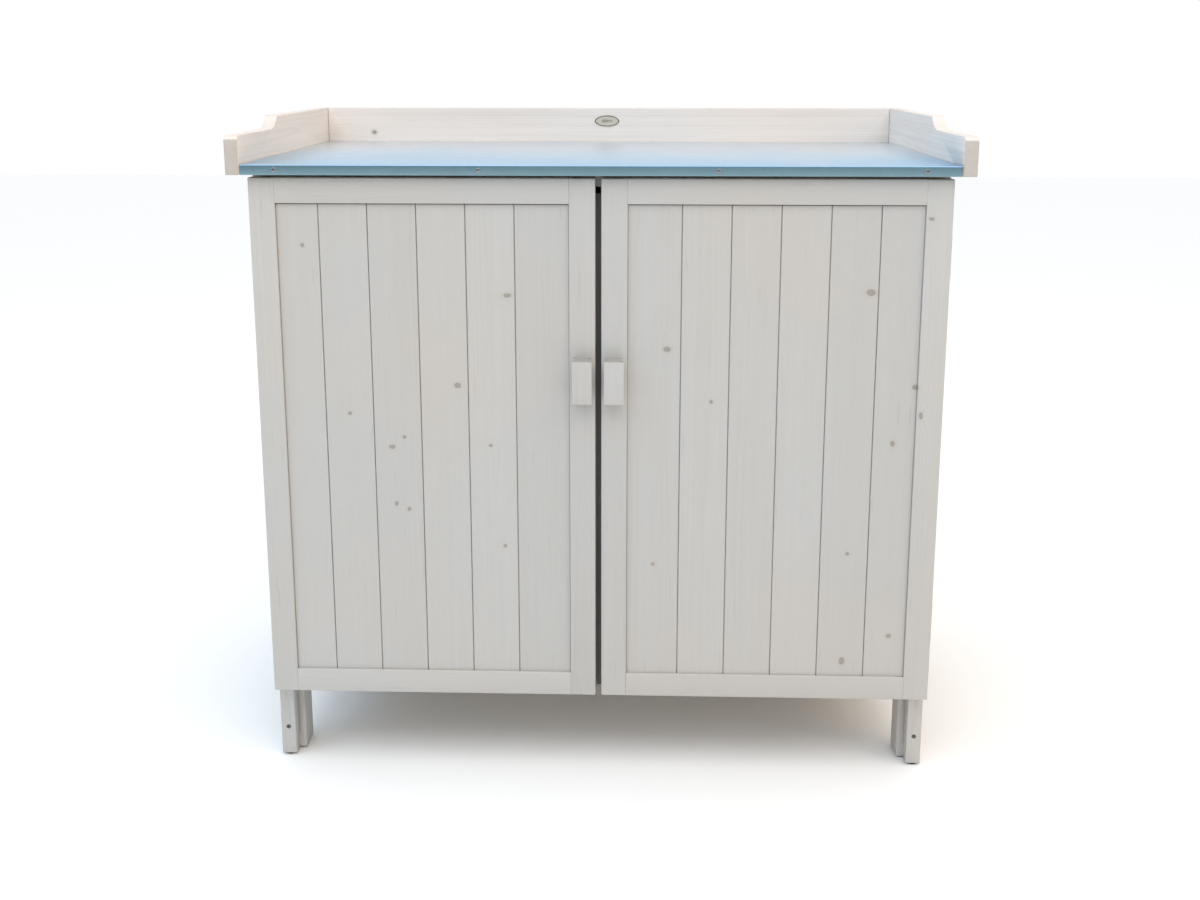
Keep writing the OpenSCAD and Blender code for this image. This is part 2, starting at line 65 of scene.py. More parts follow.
# Knots of the doors in millimetres: across, up, half width, half height
DOOR_KNOTS = (
    (-396, 760, 2.6, 2.8),
    (-122, 693, 5.4, 3.2),
    (-192, 568, 4.8, 4.2),
    (-341, 528, 2.6, 3.0),
    (-284, 480, 4.2, 3.2),
    (-267, 494, 2.8, 2.6),
    (-280, 398, 2.8, 3.4),
    (-263, 390, 3.0, 3.0),
    (-148, 483, 2.8, 2.4),
    (-130, 337, 2.8, 2.8),
    (93, 621, 5.0, 4.0),
    (363, 700, 6.4, 4.6),
    (153, 548, 2.8, 2.6),
    (400, 491, 3.4, 4.0),
    (427, 570, 4.4, 3.6),
    (436, 532, 2.8, 5.4),
    (407, 210, 3.8, 3.4),
    (343, 171, 4.2, 5.6),
    (345, 332, 2.8, 2.8),
    (76, 313, 2.4, 2.6),
    (437, 799, 3.8, 2.6),
)
# Knots of the back board
CABINET_KNOTS = ((-394, 884, 4.4, 3.2),)
# How far back the knots lie, in metres; the last one is clear of the bench
DOOR_KNOT_DEPTH, BACK_KNOT_DEPTH, CLEAR_DEPTH = -0.223, 0.246, 9.0


# ---- Sizes, colours and stage settings ----


def length(name, description, millimetres, low=0.0, high=50.0):
    """A length property, written in millimetres."""
    return FloatProperty(
        name=name,
        description=description,
        default=millimetres * MM,
        min=low * MM,
        max=high * MM,
        unit="LENGTH",
        precision=4,
    )


def colour(name, description, red, green, blue):
    """A colour property, in scene linear values."""
    return FloatVectorProperty(
        name=name,
        description=description,
        default=(red, green, blue),
        min=0.0,
        max=1.0,
        size=3,
        subtype="COLOR",
    )


class PottingBenchSizes(bpy.types.PropertyGroup):
    """Sizes that the frame doesn't set."""

    door_edge: length("Door edges", "Rounding of the door frames' outer edges", 1.8)
    joint_edge: length("Joint edges", "Rounding where a rail meets a stile", 0.8)
    timber_edge: length("Timber edges", "Rounding of legs, rails and upstand", 1.2)
    handle_edge: length("Handle edges", "Rounding of the handle blocks", 2.0)
    board_gap: length("Board gap", "Gap between tongued boards", 0.8)
    board_chamfer: length("Board chamfer", "Chamfer beside each board joint", 1.3)
    tongue_length: length("Tongue length", "Reach of a board's tongue", 5.0)
    tongue_thickness: length("Tongue thickness", "Thickness of a tongue", 3.0)
    sheet_thickness: length("Zinc thickness", "Thickness of the zinc sheet", 0.8)
    fold_radius: length("Fold radius", "Outside radius of the sheet's front fold", 1.7)
    hem_radius: length("Hem radius", "Outside radius of the fold under the lip", 1.2)
    hem_depth: length("Hem depth", "Width of the hem under the board", 10.0)
    sheet_end_gap: length("Sheet end gap", "Gap between sheet and side boards", 1.1)
    screw_sink: length("Screw sink", "Depth of the screw heads in the wood", 0.45)
    plaque_rim: length("Plaque rim", "Width of the plaque's raised rim", 1.5)
    plaque_relief: length("Plaque relief", "Height of the plaque's rim", 0.6)


class PottingBenchFinishes(bpy.types.PropertyGroup):
    """Colours of the finishes."""

    limewash: colour("Limewash", "White glaze on the spruce", 0.535, 0.531, 0.521)
    upstand_glaze: colour("Upstand glaze", "Rosier glaze of the upstand", 0.92, 0.845, 0.795)
    strip_glaze: colour("Strip glaze", "Dark glaze of the stop strip", 0.11, 0.11, 0.108)
    spruce: colour("Spruce", "Wood that shows through the glaze", 0.50, 0.435, 0.36)
    bare_spruce: colour("Inner wood", "Thinly glazed wood inside", 0.6, 0.555, 0.49)
    knot: colour("Knot", "Middle of a knot under the glaze", 0.235, 0.22, 0.21)
    zinc: colour("Zinc", "Zinc sheet", 0.72, 0.79, 0.85)
    zinc_lip: colour("Zinc lip", "Duller zinc of the folded lip", 0.245, 0.375, 0.425)
    zinc_front: colour("Zinc front", "Bluer zinc near the front", 0.375, 0.59, 0.79)
    bright_steel: colour("Bright screws", "Plated screws of the lip", 0.32, 0.33, 0.34)
    dull_steel: colour("Dull screws", "Steel of the wood screws", 0.20, 0.19, 0.18)
    hinge_steel: colour("Hinge steel", "Plated hinges and plates", 0.60, 0.60, 0.58)
    plaque_field: colour("Plaque field", "Ground of the oval plaque", 0.70, 0.66, 0.55)
    plaque_metal: colour("Plaque metal", "Raised metal of the plaque", 0.17, 0.15, 0.09)
    glide: colour("Glides", "Plastic of the foot glides", 0.018, 0.018, 0.02)
    catch: colour("Catches", "Plastic of the magnetic catches", 0.16, 0.075, 0.035)
    floor: colour("Floor", "Pale studio floor", 0.95, 0.95, 0.95)


class PottingBenchStage(bpy.types.PropertyGroup):
    """Camera and lights."""

    camera_place: FloatVectorProperty(
        name="Camera place",
        description="Where the camera stands",
        default=(0.0507, -1.8337, 1.0014),
        subtype="TRANSLATION",
        unit="LENGTH",
    )
    camera_pitch: FloatProperty(
        name="Camera pitch",
        description="How far the camera looks down",
        default=math.radians(10.77),
        subtype="ANGLE",
        unit="ROTATION",
    )
    camera_yaw: FloatProperty(
        name="Camera yaw",
        description="How far the camera is turned to the left",
        default=math.radians(1.73),
        subtype="ANGLE",
        unit="ROTATION",
    )
    camera_lens: FloatProperty(
        name="Lens",
        description="Focal length on a 36 mm wide sensor",
        default=36.63,
        min=10.0,
        max=200.0,
    )
    camera_shift: FloatProperty(
        name="Vertical shift",
        description="Shift of the lens, in sensor widths",
        default=-0.13,
        min=-0.5,
        max=0.5,
    )
    overhead: FloatProperty(
        name="Overhead light",
        description="Power of the soft light above the bench",
        default=20.5,
        min=0.0,
        max=1000.0,
    )
    left_light: FloatProperty(
        name="Left light",
        description="Power of the cool light from the left",
        default=14.0,
        min=0.0,
        max=1000.0,
    )
    right_light: FloatProperty(
        name="Right light",
        description="Power of the warm light from the right",
        default=13.0,
        min=0.0,
        max=1000.0,
    )
    surround: FloatProperty(
        name="Surround",
        description="Strength of the light from straight above",
        default=1.27,
        min=0.0,
        max=5.0,
    )


def sizes():
    """The sizes in use."""
    return bpy.context.scene.potting_bench_sizes


def finishes():
    """The colours in use."""
    return bpy.context.scene.potting_bench_finishes


# ---- Building node trees ----


class Wiring:
    """Adds nodes to one tree and joins them."""

    def __init__(self, tree):
        self.tree = tree

    def node(self, kind, **settings):
        """Adds a node and sets its options."""
        made = self.tree.nodes.new(kind)
        for option, value in settings.items():
            setattr(made, option, value)
        return made

    def put(self, socket, value):
        """Links an output to a socket, or sets the socket's own value."""
        if isinstance(value, bpy.types.NodeSocket):
            self.tree.links.new(value, socket)
        else:
            socket.default_value = value

    def math(self, operation, *values, clamp=False):
        """One Math node."""
        made = self.node("ShaderNodeMath", operation=operation, use_clamp=clamp)
        for socket, value in zip(made.inputs, values):
            self.put(socket, value)
        return made.outputs[0]

    def vector(self, operation, *values):
        """One Vector Math node; a length comes out as a number."""
        made = self.node("ShaderNodeVectorMath", operation=operation)
        for socket, value in zip(made.inputs, values):
            self.put(socket, value)
        return made.outputs["Value" if operation in {"LENGTH", "DISTANCE"} else "Vector"]

    def scaled(self, vector, factor):
        """A vector or colour times a number."""
        made = self.node("ShaderNodeVectorMath", operation="SCALE")
        self.put(made.inputs[0], vector)
        self.put(made.inputs["Scale"], factor)
        return made.outputs[0]

    def parts(self, vector):
        """The three numbers of a vector."""
        made = self.node("ShaderNodeSeparateXYZ")
        self.put(made.inputs[0], vector)
        return made.outputs[:]

    def combine(self, x, y, z):
        """A vector from three numbers."""
        made = self.node("ShaderNodeCombineXYZ")
        for socket, value in zip(made.inputs, (x, y, z)):
            self.put(socket, value)
        return made.outputs[0]

    def noise(self, place, scale=1.0, detail=2.0, roughness=0.5, colour=False):
        """Three-dimensional noise, about 0.5."""
        made = self.node("ShaderNodeTexNoise")
        self.put(made.inputs["Vector"], place)
        made.inputs["Scale"].default_value = scale
        made.inputs["Detail"].default_value = detail
        made.inputs["Roughness"].default_value = roughness
        return made.outputs["Color" if colour else "Fac"]

    def stretched(self, place, across, along, detail=2.0, roughness=0.5):
        """Noise drawn out along the fibre."""
        scaled = self.vector("MULTIPLY", place, (across, across, along))
        return self.noise(scaled, 1.0, detail, roughness)

    def between(self, value, low, high, out_low=0.0, out_high=1.0):
        """Maps a range smoothly onto another."""
        made = self.node("ShaderNodeMapRange", interpolation_type="SMOOTHSTEP")
        for socket, number in zip(made.inputs, (value, low, high, out_low, out_high)):
            self.put(socket, number)
        return made.outputs[0]

    def mix(self, factor, first, second, blend="MIX"):
        """Mixes two colours."""
        made = self.node("ShaderNodeMix", data_type="RGBA", blend_type=blend)
        self.put(made.inputs[0], factor)
        self.put(made.inputs[6], first)
        self.put(made.inputs[7], second)
        return made.outputs[2]

    def attribute(self, name, output="Vector"):
        """A named attribute of the mesh."""
        return self.node("ShaderNodeAttribute", attribute_name=name).outputs[output]

    def object_place(self):
        """Coordinates in the object's own space."""
        return self.node("ShaderNodeTexCoord").outputs["Object"]

    def bump(self, height, strength, distance):
        """A bump from a height."""
        made = self.node("ShaderNodeBump")
        made.inputs["Strength"].default_value = strength
        made.inputs["Distance"].default_value = distance
        self.put(made.inputs["Height"], height)
        return made.outputs["Normal"]


def opaque(rgb):
    """A colour with full alpha, as sockets take it."""
    return (*rgb, 1.0)


def new_material(name):
    """An empty material with a Principled shader; returns wiring and shader."""
    material = bpy.data.materials.new(name)
    material.use_nodes = True
    wiring = Wiring(material.node_tree)
    shader = material.node_tree.nodes["Principled BSDF"]
    return material, wiring, shader


def group_tree(name, inputs, outputs):
    """A shader node group with named sockets; returns wiring, inputs and outputs."""
    tree = bpy.data.node_groups.new(name, "ShaderNodeTree")
    for label, kind in inputs:
        tree.interface.new_socket(label, in_out="INPUT", socket_type=kind)
    for label, kind in outputs:
        tree.interface.new_socket(label, in_out="OUTPUT", socket_type=kind)
    wiring = Wiring(tree)
    return tree, wiring, wiring.node("NodeGroupInput"), wiring.node("NodeGroupOutput")


# ---- Timber ----


def knot_distance(wiring, knots, middle_y):
    """Distance to the nearest knot, as a share of that knot's size."""
    place = wiring.object_place()
    wander = wiring.noise(place, 70.0, 2.0, 0.6, colour=True)
    wander = wiring.vector("MULTIPLY_ADD", wander, (0.004,) * 3, (-0.002,) * 3)
    place = wiring.vector("ADD", place, wander)
    nearest = 1000.0
    for x, z, half_x, half_z in knots:
        scale = (1 / (half_x * MM), 1 / 0.06, 1 / (half_z * MM))
        offset = (-x * MM * scale[0], -middle_y * scale[1], -z * MM * scale[2])
        away = wiring.vector("MULTIPLY_ADD", place, scale, offset)
        nearest = wiring.math("MINIMUM", wiring.vector("LENGTH", away), nearest)
    return nearest


def scattered_knots(wiring, across, along, chance):
    """Distance to the nearest chance knot, as a share of its size."""
    cells = wiring.node("ShaderNodeTexVoronoi", voronoi_dimensions="2D")
    wiring.put(cells.inputs["Vector"], wiring.combine(across, along, 0.0))
    cells.inputs["Scale"].default_value = 8.0
    pick = wiring.parts(cells.outputs["Color"])
    missing = wiring.math("GREATER_THAN", pick[0], chance)
    size = wiring.math("MULTIPLY_ADD", pick[1], 0.03, 0.028)
    away = wiring.math("DIVIDE", cells.outputs["Distance"], size)
    return wiring.math("MULTIPLY_ADD", missing, 1000.0, away)


def timber_group(name, knots, middle_y, chance):
    """Node group for glazed timber: growth rings, fibre, brushed glaze, knots, worn edges."""
    tree, w, given, result = group_tree(
        name,
        (
            ("Glaze", "NodeSocketColor"),
            ("Wood", "NodeSocketColor"),
            ("Knot", "NodeSocketColor"),
            ("Cover", "NodeSocketFloat"),
        ),
        (
            ("Color", "NodeSocketColor"),
            ("Roughness", "NodeSocketFloat"),
            ("Height", "NodeSocketFloat"),
        ),
    )
    local = w.attribute("local")
    half = w.attribute("half")
    seed = w.attribute("seed", "Fac")
    chance_colour = w.node("ShaderNodeTexWhiteNoise", noise_dimensions="1D")
    w.put(chance_colour.inputs["W"], seed)
    luck = w.parts(chance_colour.outputs["Color"])
    place = w.vector("MULTIPLY_ADD", chance_colour.outputs["Color"], (5.0,) * 3, local)
    x, y, z = w.parts(local)

    # Knots, and how they push the rings aside
    wander = w.math("MULTIPLY_ADD", w.noise(place, 90.0, 2.0), 0.008, -0.004)
    across = w.math("MULTIPLY_ADD", luck[0], 9.0, w.math("ADD", x, wander))
    along = w.math("MULTIPLY_ADD", luck[1], 9.0, w.math("ADD", z, wander))
    knot = w.math(
        "MINIMUM",
        scattered_knots(w, across, along, chance),
        knot_distance(w, knots, middle_y),
    )
    push = w.between(knot, 0.6, 7.0, 1.0, 0.0)

    # Growth rings about a pith that lies behind the board
    bend = w.stretched(place, 5.0, 1.4, 2.0)
    sway = w.stretched(place, 34.0, 2.6, 2.0)
    pith_x = w.math("MULTIPLY_ADD", luck[0], 0.09, -0.045)
    pith_y = w.math("MULTIPLY_ADD", luck[1], 0.06, 0.012)
    dx = w.math("ADD", w.math("SUBTRACT", x, pith_x), w.math("MULTIPLY", bend, 0.03))
    dy = w.math("ADD", y, pith_y)
    radius = w.vector("LENGTH", w.combine(dx, dy, 0.0))
    radius = w.math("MULTIPLY_ADD", sway, 0.0045, radius)
    radius = w.math("MULTIPLY_ADD", push, 0.005, radius)
    phase = w.math("MULTIPLY", radius, 390.0)
    turn = w.math("FRACT", phase)
    late = w.math("POWER", turn, 2.4)
    late = w.math("MULTIPLY", late, w.between(turn, 0.9, 1.0, 1.0, 0.0))
    year = w.node("ShaderNodeTexWhiteNoise", noise_dimensions="1D")
    w.put(year.inputs["W"], w.math("ADD", w.math("FLOOR", phase), luck[2]))
    ring = w.math("MULTIPLY", late, w.math("MULTIPLY_ADD", year.outputs[0], 0.7, 0.45))

    # Fibre, brush marks and slow clouds in the glaze
    fibre = w.stretched(place, 900.0, 14.0, 2.0, 0.6)
    brush = w.stretched(place, 130.0, 2.4, 3.0, 0.6)
    cloud = w.stretched(place, 14.0, 4.0, 2.0)
    dashes = w.between(w.stretched(place, 240.0, 16.0, 1.0), 0.68, 0.78)

    # Wear: the middle one of the three distances to a timber's faces
    depth = w.parts(w.vector("SUBTRACT", half, w.vector("ABSOLUTE", local)))
    small = w.math("MINIMUM", depth[0], depth[1])
    large = w.math("MAXIMUM", depth[0], depth[1])
    edge = w.math("MAXIMUM", small, w.math("MINIMUM", large, depth[2]))
    edge = w.math("MULTIPLY_ADD", cloud, 0.0022, edge)
    wear = w.between(edge, 0.0012, 0.0034, 1.0, 0.0)
    end = w.between(depth[2], 0.0001, 0.0012, 1.0, 0.0)

    cover = w.math("MULTIPLY_ADD", brush, 0.34, given.outputs["Cover"])
    cover = w.math("MULTIPLY_ADD", cloud, 0.22, cover)
    cover = w.math("MULTIPLY_ADD", fibre, 0.12, cover)
    cover = w.math("SUBTRACT", cover, 0.34)
    cover = w.math("MULTIPLY_ADD", ring, -0.26, cover)
    cover = w.math("MULTIPLY_ADD", wear, -0.16, cover)
    cover = w.math("MULTIPLY_ADD", end, -0.2, cover, clamp=True)
    tint = w.mix(cover, given.outputs["Wood"], given.outputs["Glaze"])

    # Each board has its own tone, and the hue drifts slowly from rosy to cool
    drift = w.noise(w.object_place(), 3.2, 1.0)
    rosy = w.between(drift, 0.35, 0.65)
    hue = w.mix(rosy, (0.985, 1.0, 1.012, 1.0), (1.012, 0.998, 0.985, 1.0))
    tint = w.mix(1.0, tint, hue, "MULTIPLY")
    tone = w.math("MULTIPLY_ADD", luck[2], 0.055, 0.955)
    tone = w.math("MULTIPLY_ADD", fibre, 0.05, tone)
    tone = w.math("MULTIPLY_ADD", dashes, -0.07, tone)
    tone = w.math("MULTIPLY_ADD", wear, 0.03, tone)
    tone = w.math("MULTIPLY_ADD", end, -0.3, tone)
    tint = w.scaled(tint, tone)

    # A knot: dark rim, greyish middle, soft halo in the glaze
    middle = w.between(knot, 0.75, 1.15, 1.0, 0.0)
    rim = w.math("MULTIPLY", w.between(knot, 0.5, 0.95), middle)
    halo = w.between(knot, 0.9, 2.4, 0.35, 0.0)
    shade = w.mix(halo, tint, given.outputs["Wood"])
    heart = w.mix(w.math("MULTIPLY", fibre, 0.6), given.outputs["Knot"], given.outputs["Wood"])
    shade = w.mix(w.math("MULTIPLY", middle, 0.82), shade, heart)
    shade = w.mix(w.math("MULTIPLY", rim, 0.35), shade, given.outputs["Knot"])
    w.put(result.inputs["Color"], shade)

    gloss = w.math("MULTIPLY_ADD", brush, 0.16, 0.5)
    gloss = w.math("MULTIPLY_ADD", ring, -0.06, gloss)
    w.put(result.inputs["Roughness"], gloss)
    height = w.math("MULTIPLY_ADD", ring, 0.5, w.math("MULTIPLY", fibre, 0.55))
    height = w.math("MULTIPLY_ADD", brush, 0.5, height)
    height = w.math("MULTIPLY_ADD", middle, -0.5, height)
    w.put(result.inputs["Height"], height)
    return tree


def timber_material(name, glaze, wood, cover, knots, middle_y, chance, joint=None):
    """A timber finish from its own node group; joint may darken its colour."""
    material, w, shader = new_material(name)
    timber = w.node("ShaderNodeGroup")
    timber.node_tree = timber_group(name + " timber", knots, middle_y, chance)
    timber.inputs["Glaze"].default_value = opaque(glaze)
    timber.inputs["Wood"].default_value = opaque(wood)
    timber.inputs["Knot"].default_value = opaque(finishes().knot)
    timber.inputs["Cover"].default_value = cover
    colour = timber.outputs["Color"]
    w.put(shader.inputs["Base Color"], joint(w, colour) if joint else colour)
    w.put(shader.inputs["Roughness"], timber.outputs["Roughness"])
    w.put(shader.inputs["Normal"], w.bump(timber.outputs["Height"], 0.35, 0.0004))
    shader.inputs["Specular IOR Level"].default_value = 0.35
    return material


def door_glaze(name, joint=None):
    """Glazed spruce with the knots of the doors."""
    tints = finishes()
    glaze, wood = tints.limewash, tints.spruce
    return timber_material(name, glaze, wood, 0.82, DOOR_KNOTS, DOOR_KNOT_DEPTH, 0.0, joint)


def limewashed_doors():
    """Glazed spruce of the door frames and handles."""
    return door_glaze("Limewashed doors")


def panel_joint(w, colour):
    """Darkens the line where the door boards enter the frame, most of all at the top."""
    place = w.parts(w.object_place())
    across = w.math("ABSOLUTE", place[0])
    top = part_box("left_door_top_rail")[0].z
    outer = -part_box("left_door_outer_stile")[1].x
    inner = -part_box("left_door_inner_stile")[0].x
    below = w.between(w.math("SUBTRACT", top, place[2]), 0.8 * MM, 2.2 * MM, 0.85, 0.0)
    beside = w.math("MINIMUM", w.math("SUBTRACT", outer, across), w.math("SUBTRACT", across, inner))
    beside = w.between(beside, 0.3 * MM, 1.5 * MM, 0.4, 0.0)
    line = w.math("MAXIMUM", below, beside)
    return w.scaled(colour, w.math("SUBTRACT", 1.0, line))


def limewashed_panels():
    """Glazed spruce of the door boards."""
    return door_glaze("Limewashed panels", panel_joint)


def back_board_glaze(name, glaze, cover, chance, joint=None):
    """Glazed spruce with the knot of the back board."""
    wood = finishes().spruce
    depth = BACK_KNOT_DEPTH
    return timber_material(name, glaze, wood, cover, CABINET_KNOTS, depth, chance, joint)


def limewashed_cabinet():
    """Glazed spruce of the cabinet."""
    return back_board_glaze("Limewashed cabinet", finishes().limewash, 0.82, 0.16)


def dusty_tops(w, colour):
    """Greys the faces that look up."""
    up = w.parts(w.node("ShaderNodeNewGeometry").outputs["Normal"])[2]
    return w.scaled(colour, w.between(up, 0.5, 0.95, 1.0, 0.84))


def limewashed_upstand():
    """Paler, rosier glaze of the side and back boards."""
    glaze = finishes().upstand_glaze
    return back_board_glaze("Limewashed upstand", glaze, 0.86, 0.0, dusty_tops)


def knotless_timber(name, glaze, cover, chance):
    """Timber without placed knots; chance knots may still show."""
    wood = finishes().spruce
    return timber_material(name, glaze, wood, cover, CABINET_KNOTS, CLEAR_DEPTH, chance)


def dark_strip():
    """Dark glaze of the strip behind the meeting gap."""
    return knotless_timber("Dark strip", finishes().strip_glaze, 1.0, 0.0)


def inner_wood():
    """Thinly glazed spruce inside the cabinet."""
    return knotless_timber("Inner wood", finishes().bare_spruce, 0.66, 0.4)


# ---- Metal and plastic ----


def zinc_sheet_metal():
    """Zinc sheet: faint spangle, soft waves, rubbing marks, bluer towards the front."""
    tints = finishes()
    material, w, shader = new_material("Zinc sheet")
    place = w.object_place()
    spangle = w.node("ShaderNodeTexVoronoi")
    w.put(spangle.inputs["Vector"], w.vector("MULTIPLY", place, (90.0, 90.0, 90.0)))
    spangle.inputs["Scale"].default_value = 1.0
    flake = w.parts(spangle.outputs["Color"])[0]
    cloud = w.noise(place, 5.0, 3.0)
    front = w.between(w.parts(place)[1], -0.25, 0.16, 1.0, 0.0)
    front = w.math("MULTIPLY_ADD", cloud, 0.5, front)
    front = w.math("SUBTRACT", front, 0.25, clamp=True)
    tint = w.mix(front, opaque(tints.zinc), opaque(tints.zinc_front))
    lip = w.between(w.attribute("lip", "Fac"), 0.6, 1.0)
    tint = w.mix(lip, tint, opaque(tints.zinc_lip))
    shade = w.math("MULTIPLY_ADD", flake, 0.05, 0.96)
    w.put(shader.inputs["Base Color"], w.scaled(tint, shade))
    rub = w.noise(w.vector("MULTIPLY", place, (26.0, 320.0, 320.0)), 1.0, 3.0)
    gloss = w.math("MULTIPLY_ADD", cloud, 0.14, 0.2)
    gloss = w.math("MULTIPLY_ADD", rub, 0.08, gloss)
    w.put(shader.inputs["Roughness"], gloss)
    wave = w.noise(place, 7.0, 1.0)
    height = w.math("MULTIPLY_ADD", rub, 0.02, wave)
    w.put(shader.inputs["Normal"], w.bump(height, 0.25, 0.004))
    shader.inputs["Metallic"].default_value = 1.0
    return material


def plated_metal(name, tint, roughness, dirt):
    """Plated or dull steel with fine scratches and dirt."""
    material, w, shader = new_material(name)
    place = w.object_place()
    stain = w.noise(place, 140.0, 3.0, 0.6)
    scratch = w.noise(w.vector("MULTIPLY", place, (2400.0, 500.0, 2400.0)), 1.0, 2.0)
    low = tuple(part * (1.0 - dirt) for part in tint)
    shade = w.mix(w.between(stain, 0.35, 0.65), opaque(low), opaque(tint))
    w.put(shader.inputs["Base Color"], shade)
    gloss = w.math("MULTIPLY_ADD", stain, 0.22, roughness - 0.11)
    gloss = w.math("MULTIPLY_ADD", scratch, 0.1, gloss)
    w.put(shader.inputs["Roughness"], gloss)
    w.put(shader.inputs["Normal"], w.bump(scratch, 0.2, 0.0001))
    shader.inputs["Metallic"].default_value = 1.0
    return material


def moulded_plastic(name, tint, roughness):
    """Moulded plastic with a fine grain and scuffs."""
    material, w, shader = new_material(name)
    place = w.object_place()
    grain = w.noise(place, 1800.0, 2.0)
    scuff = w.noise(place, 120.0, 3.0, 0.6)
    worn = tuple(min(1.0, part * 1.5 + 0.02) for part in tint)
    shade = w.mix(w.between(scuff, 0.5, 0.8), opaque(tint), opaque(worn))
    w.put(shader.inputs["Base Color"], shade)
    w.put(shader.inputs["Roughness"], w.math("MULTIPLY_ADD", scuff, 0.2, roughness - 0.1))
    w.put(shader.inputs["Normal"], w.bump(grain, 0.15, 0.0002))
    return material


def plaque_metal():
    """Plaque: raised metal over a darker ground, by the height stored on it."""
    tints = finishes()
    material, w, shader = new_material("Oval plaque")
    raised = w.attribute("raised", "Fac")
    place = w.object_place()
    patina = w.noise(place, 420.0, 3.0, 0.6)
    ground, brass = opaque(tints.plaque_field), opaque(tints.plaque_metal)
    field = w.mix(w.math("MULTIPLY", patina, 0.2), ground, brass)
    metal = w.mix(w.between(patina, 0.55, 0.8), brass, field)
    shade = w.mix(w.between(raised, 0.3, 0.7), field, metal)
    w.put(shader.inputs["Base Color"], shade)
    w.put(shader.inputs["Roughness"], w.math("MULTIPLY_ADD", patina, 0.3, 0.3))
    w.put(shader.inputs["Normal"], w.bump(patina, 0.2, 0.0002))
    shader.inputs["Metallic"].default_value = 0.3
    return material


def finish_material(name):
    """The material of that name, made on first use."""
    tints = finishes()
    makers = {
        "Limewashed doors": limewashed_doors,
        "Limewashed panels": limewashed_panels,
        "Limewashed cabinet": limewashed_cabinet,
        "Limewashed upstand": limewashed_upstand,
        "Dark strip": dark_strip,
        "Inner wood": inner_wood,
        "Zinc sheet": zinc_sheet_metal,
        "Bright screws": lambda: plated_metal("Bright screws", tints.bright_steel, 0.22, 0.15),
        "Dull screws": lambda: plated_metal("Dull screws", tints.dull_steel, 0.45, 0.45),
        "Hinge steel": lambda: plated_metal("Hinge steel", tints.hinge_steel, 0.34, 0.25),
        "Oval plaque": plaque_metal,
        "Glide plastic": lambda: moulded_plastic("Glide plastic", tints.glide, 0.5),
        "Catch plastic": lambda: moulded_plastic("Catch plastic", tints.catch, 0.42),
    }
    return bpy.data.materials.get(name) or makers[name]()


# ---- Meshes ----


def islands(vertex_count, edges):
    """Number of the loose part that each vertex belongs to."""
    parent = list(range(vertex_count))

    def root(index):
        while parent[index] != index:
            parent[index] = parent[parent[index]]
            index = parent[index]
        return index

    for first, second in edges:
        a, b = root(int(first)), root(int(second))
        if a != b:
            parent[max(a, b)] = min(a, b)
    return np.array([root(index) for index in range(vertex_count)])


def mesh_points(mesh):
    """Corners of a mesh, and the loose part of each."""
    points = np.zeros(len(mesh.vertices) * 3, np.float32)
    mesh.vertices.foreach_get("co", points)
    edges = np.zeros(len(mesh.edges) * 2, np.int32)
    mesh.edges.foreach_get("vertices", edges)
    return points.reshape(-1, 3), islands(len(mesh.vertices), edges.reshape(-1, 2))


def cad_copy(node):
    """Copy of a CAD node's mesh with merged corners and whole flat faces."""
    shape = bmesh.new()
    shape.from_mesh(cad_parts[node].data)
    bmesh.ops.remove_doubles(shape, verts=shape.verts, dist=1e-5)
    bmesh.ops.dissolve_limit(
        shape,
        angle_limit=math.radians(0.5),
        use_dissolve_boundaries=False,
        verts=shape.verts,
        edges=shape.edges,
    )
    mesh = bpy.data.meshes.new(node + "_copy")
    shape.to_mesh(mesh)
    shape.free()
    mesh.materials.clear()
    return mesh


def cad_solids(node):
    """Corners of each separate solid of a CAD node."""
    mesh = cad_copy(node)
    points, part = mesh_points(mesh)
    solids = [points[part == number] for number in np.unique(part)]
    bpy.data.meshes.remove(mesh)
    return solids


def square_edge(edge):
    """True for a sharp outward edge of about a right angle that is no rim of a hole."""
    if len(edge.link_faces) != 2 or edge.calc_length() < 1.2 * MM:
        return False
    return math.radians(75) < edge.calc_face_angle_signed(0.0) < math.radians(105)


def rounded(mesh, width, share=None, segments=3):
    """Rounds a mesh's square edges; share gives each edge's part of the width."""
    shape = bmesh.new()
    shape.from_mesh(mesh)
    weight = shape.edges.layers.float.new("bevel_weight_edge")
    for edge in shape.edges:
        if square_edge(edge):
            middle = (edge.verts[0].co + edge.verts[1].co) / 2
            edge[weight] = share(middle, edge) if share else 1.0
    shape.to_mesh(mesh)
    shape.free()
    carrier = bpy.data.objects.new("carrier", mesh)
    bpy.context.scene.collection.objects.link(carrier)
    bevel = carrier.modifiers.new("Round edges", "BEVEL")
    bevel.limit_method = "WEIGHT"
    bevel.width = width
    bevel.segments = segments
    bevel.miter_outer = "MITER_ARC"
    bevel.use_clamp_overlap = True
    return plain_result(carrier)


def plain_result(carrier):
    """The carrier's finished mesh; its modifiers and the carrier are removed."""
    evaluated = carrier.evaluated_get(bpy.context.evaluated_depsgraph_get())
    mesh = bpy.data.meshes.new_from_object(evaluated)
    carrier.modifiers.clear()
    bpy.data.objects.remove(carrier)
    return mesh


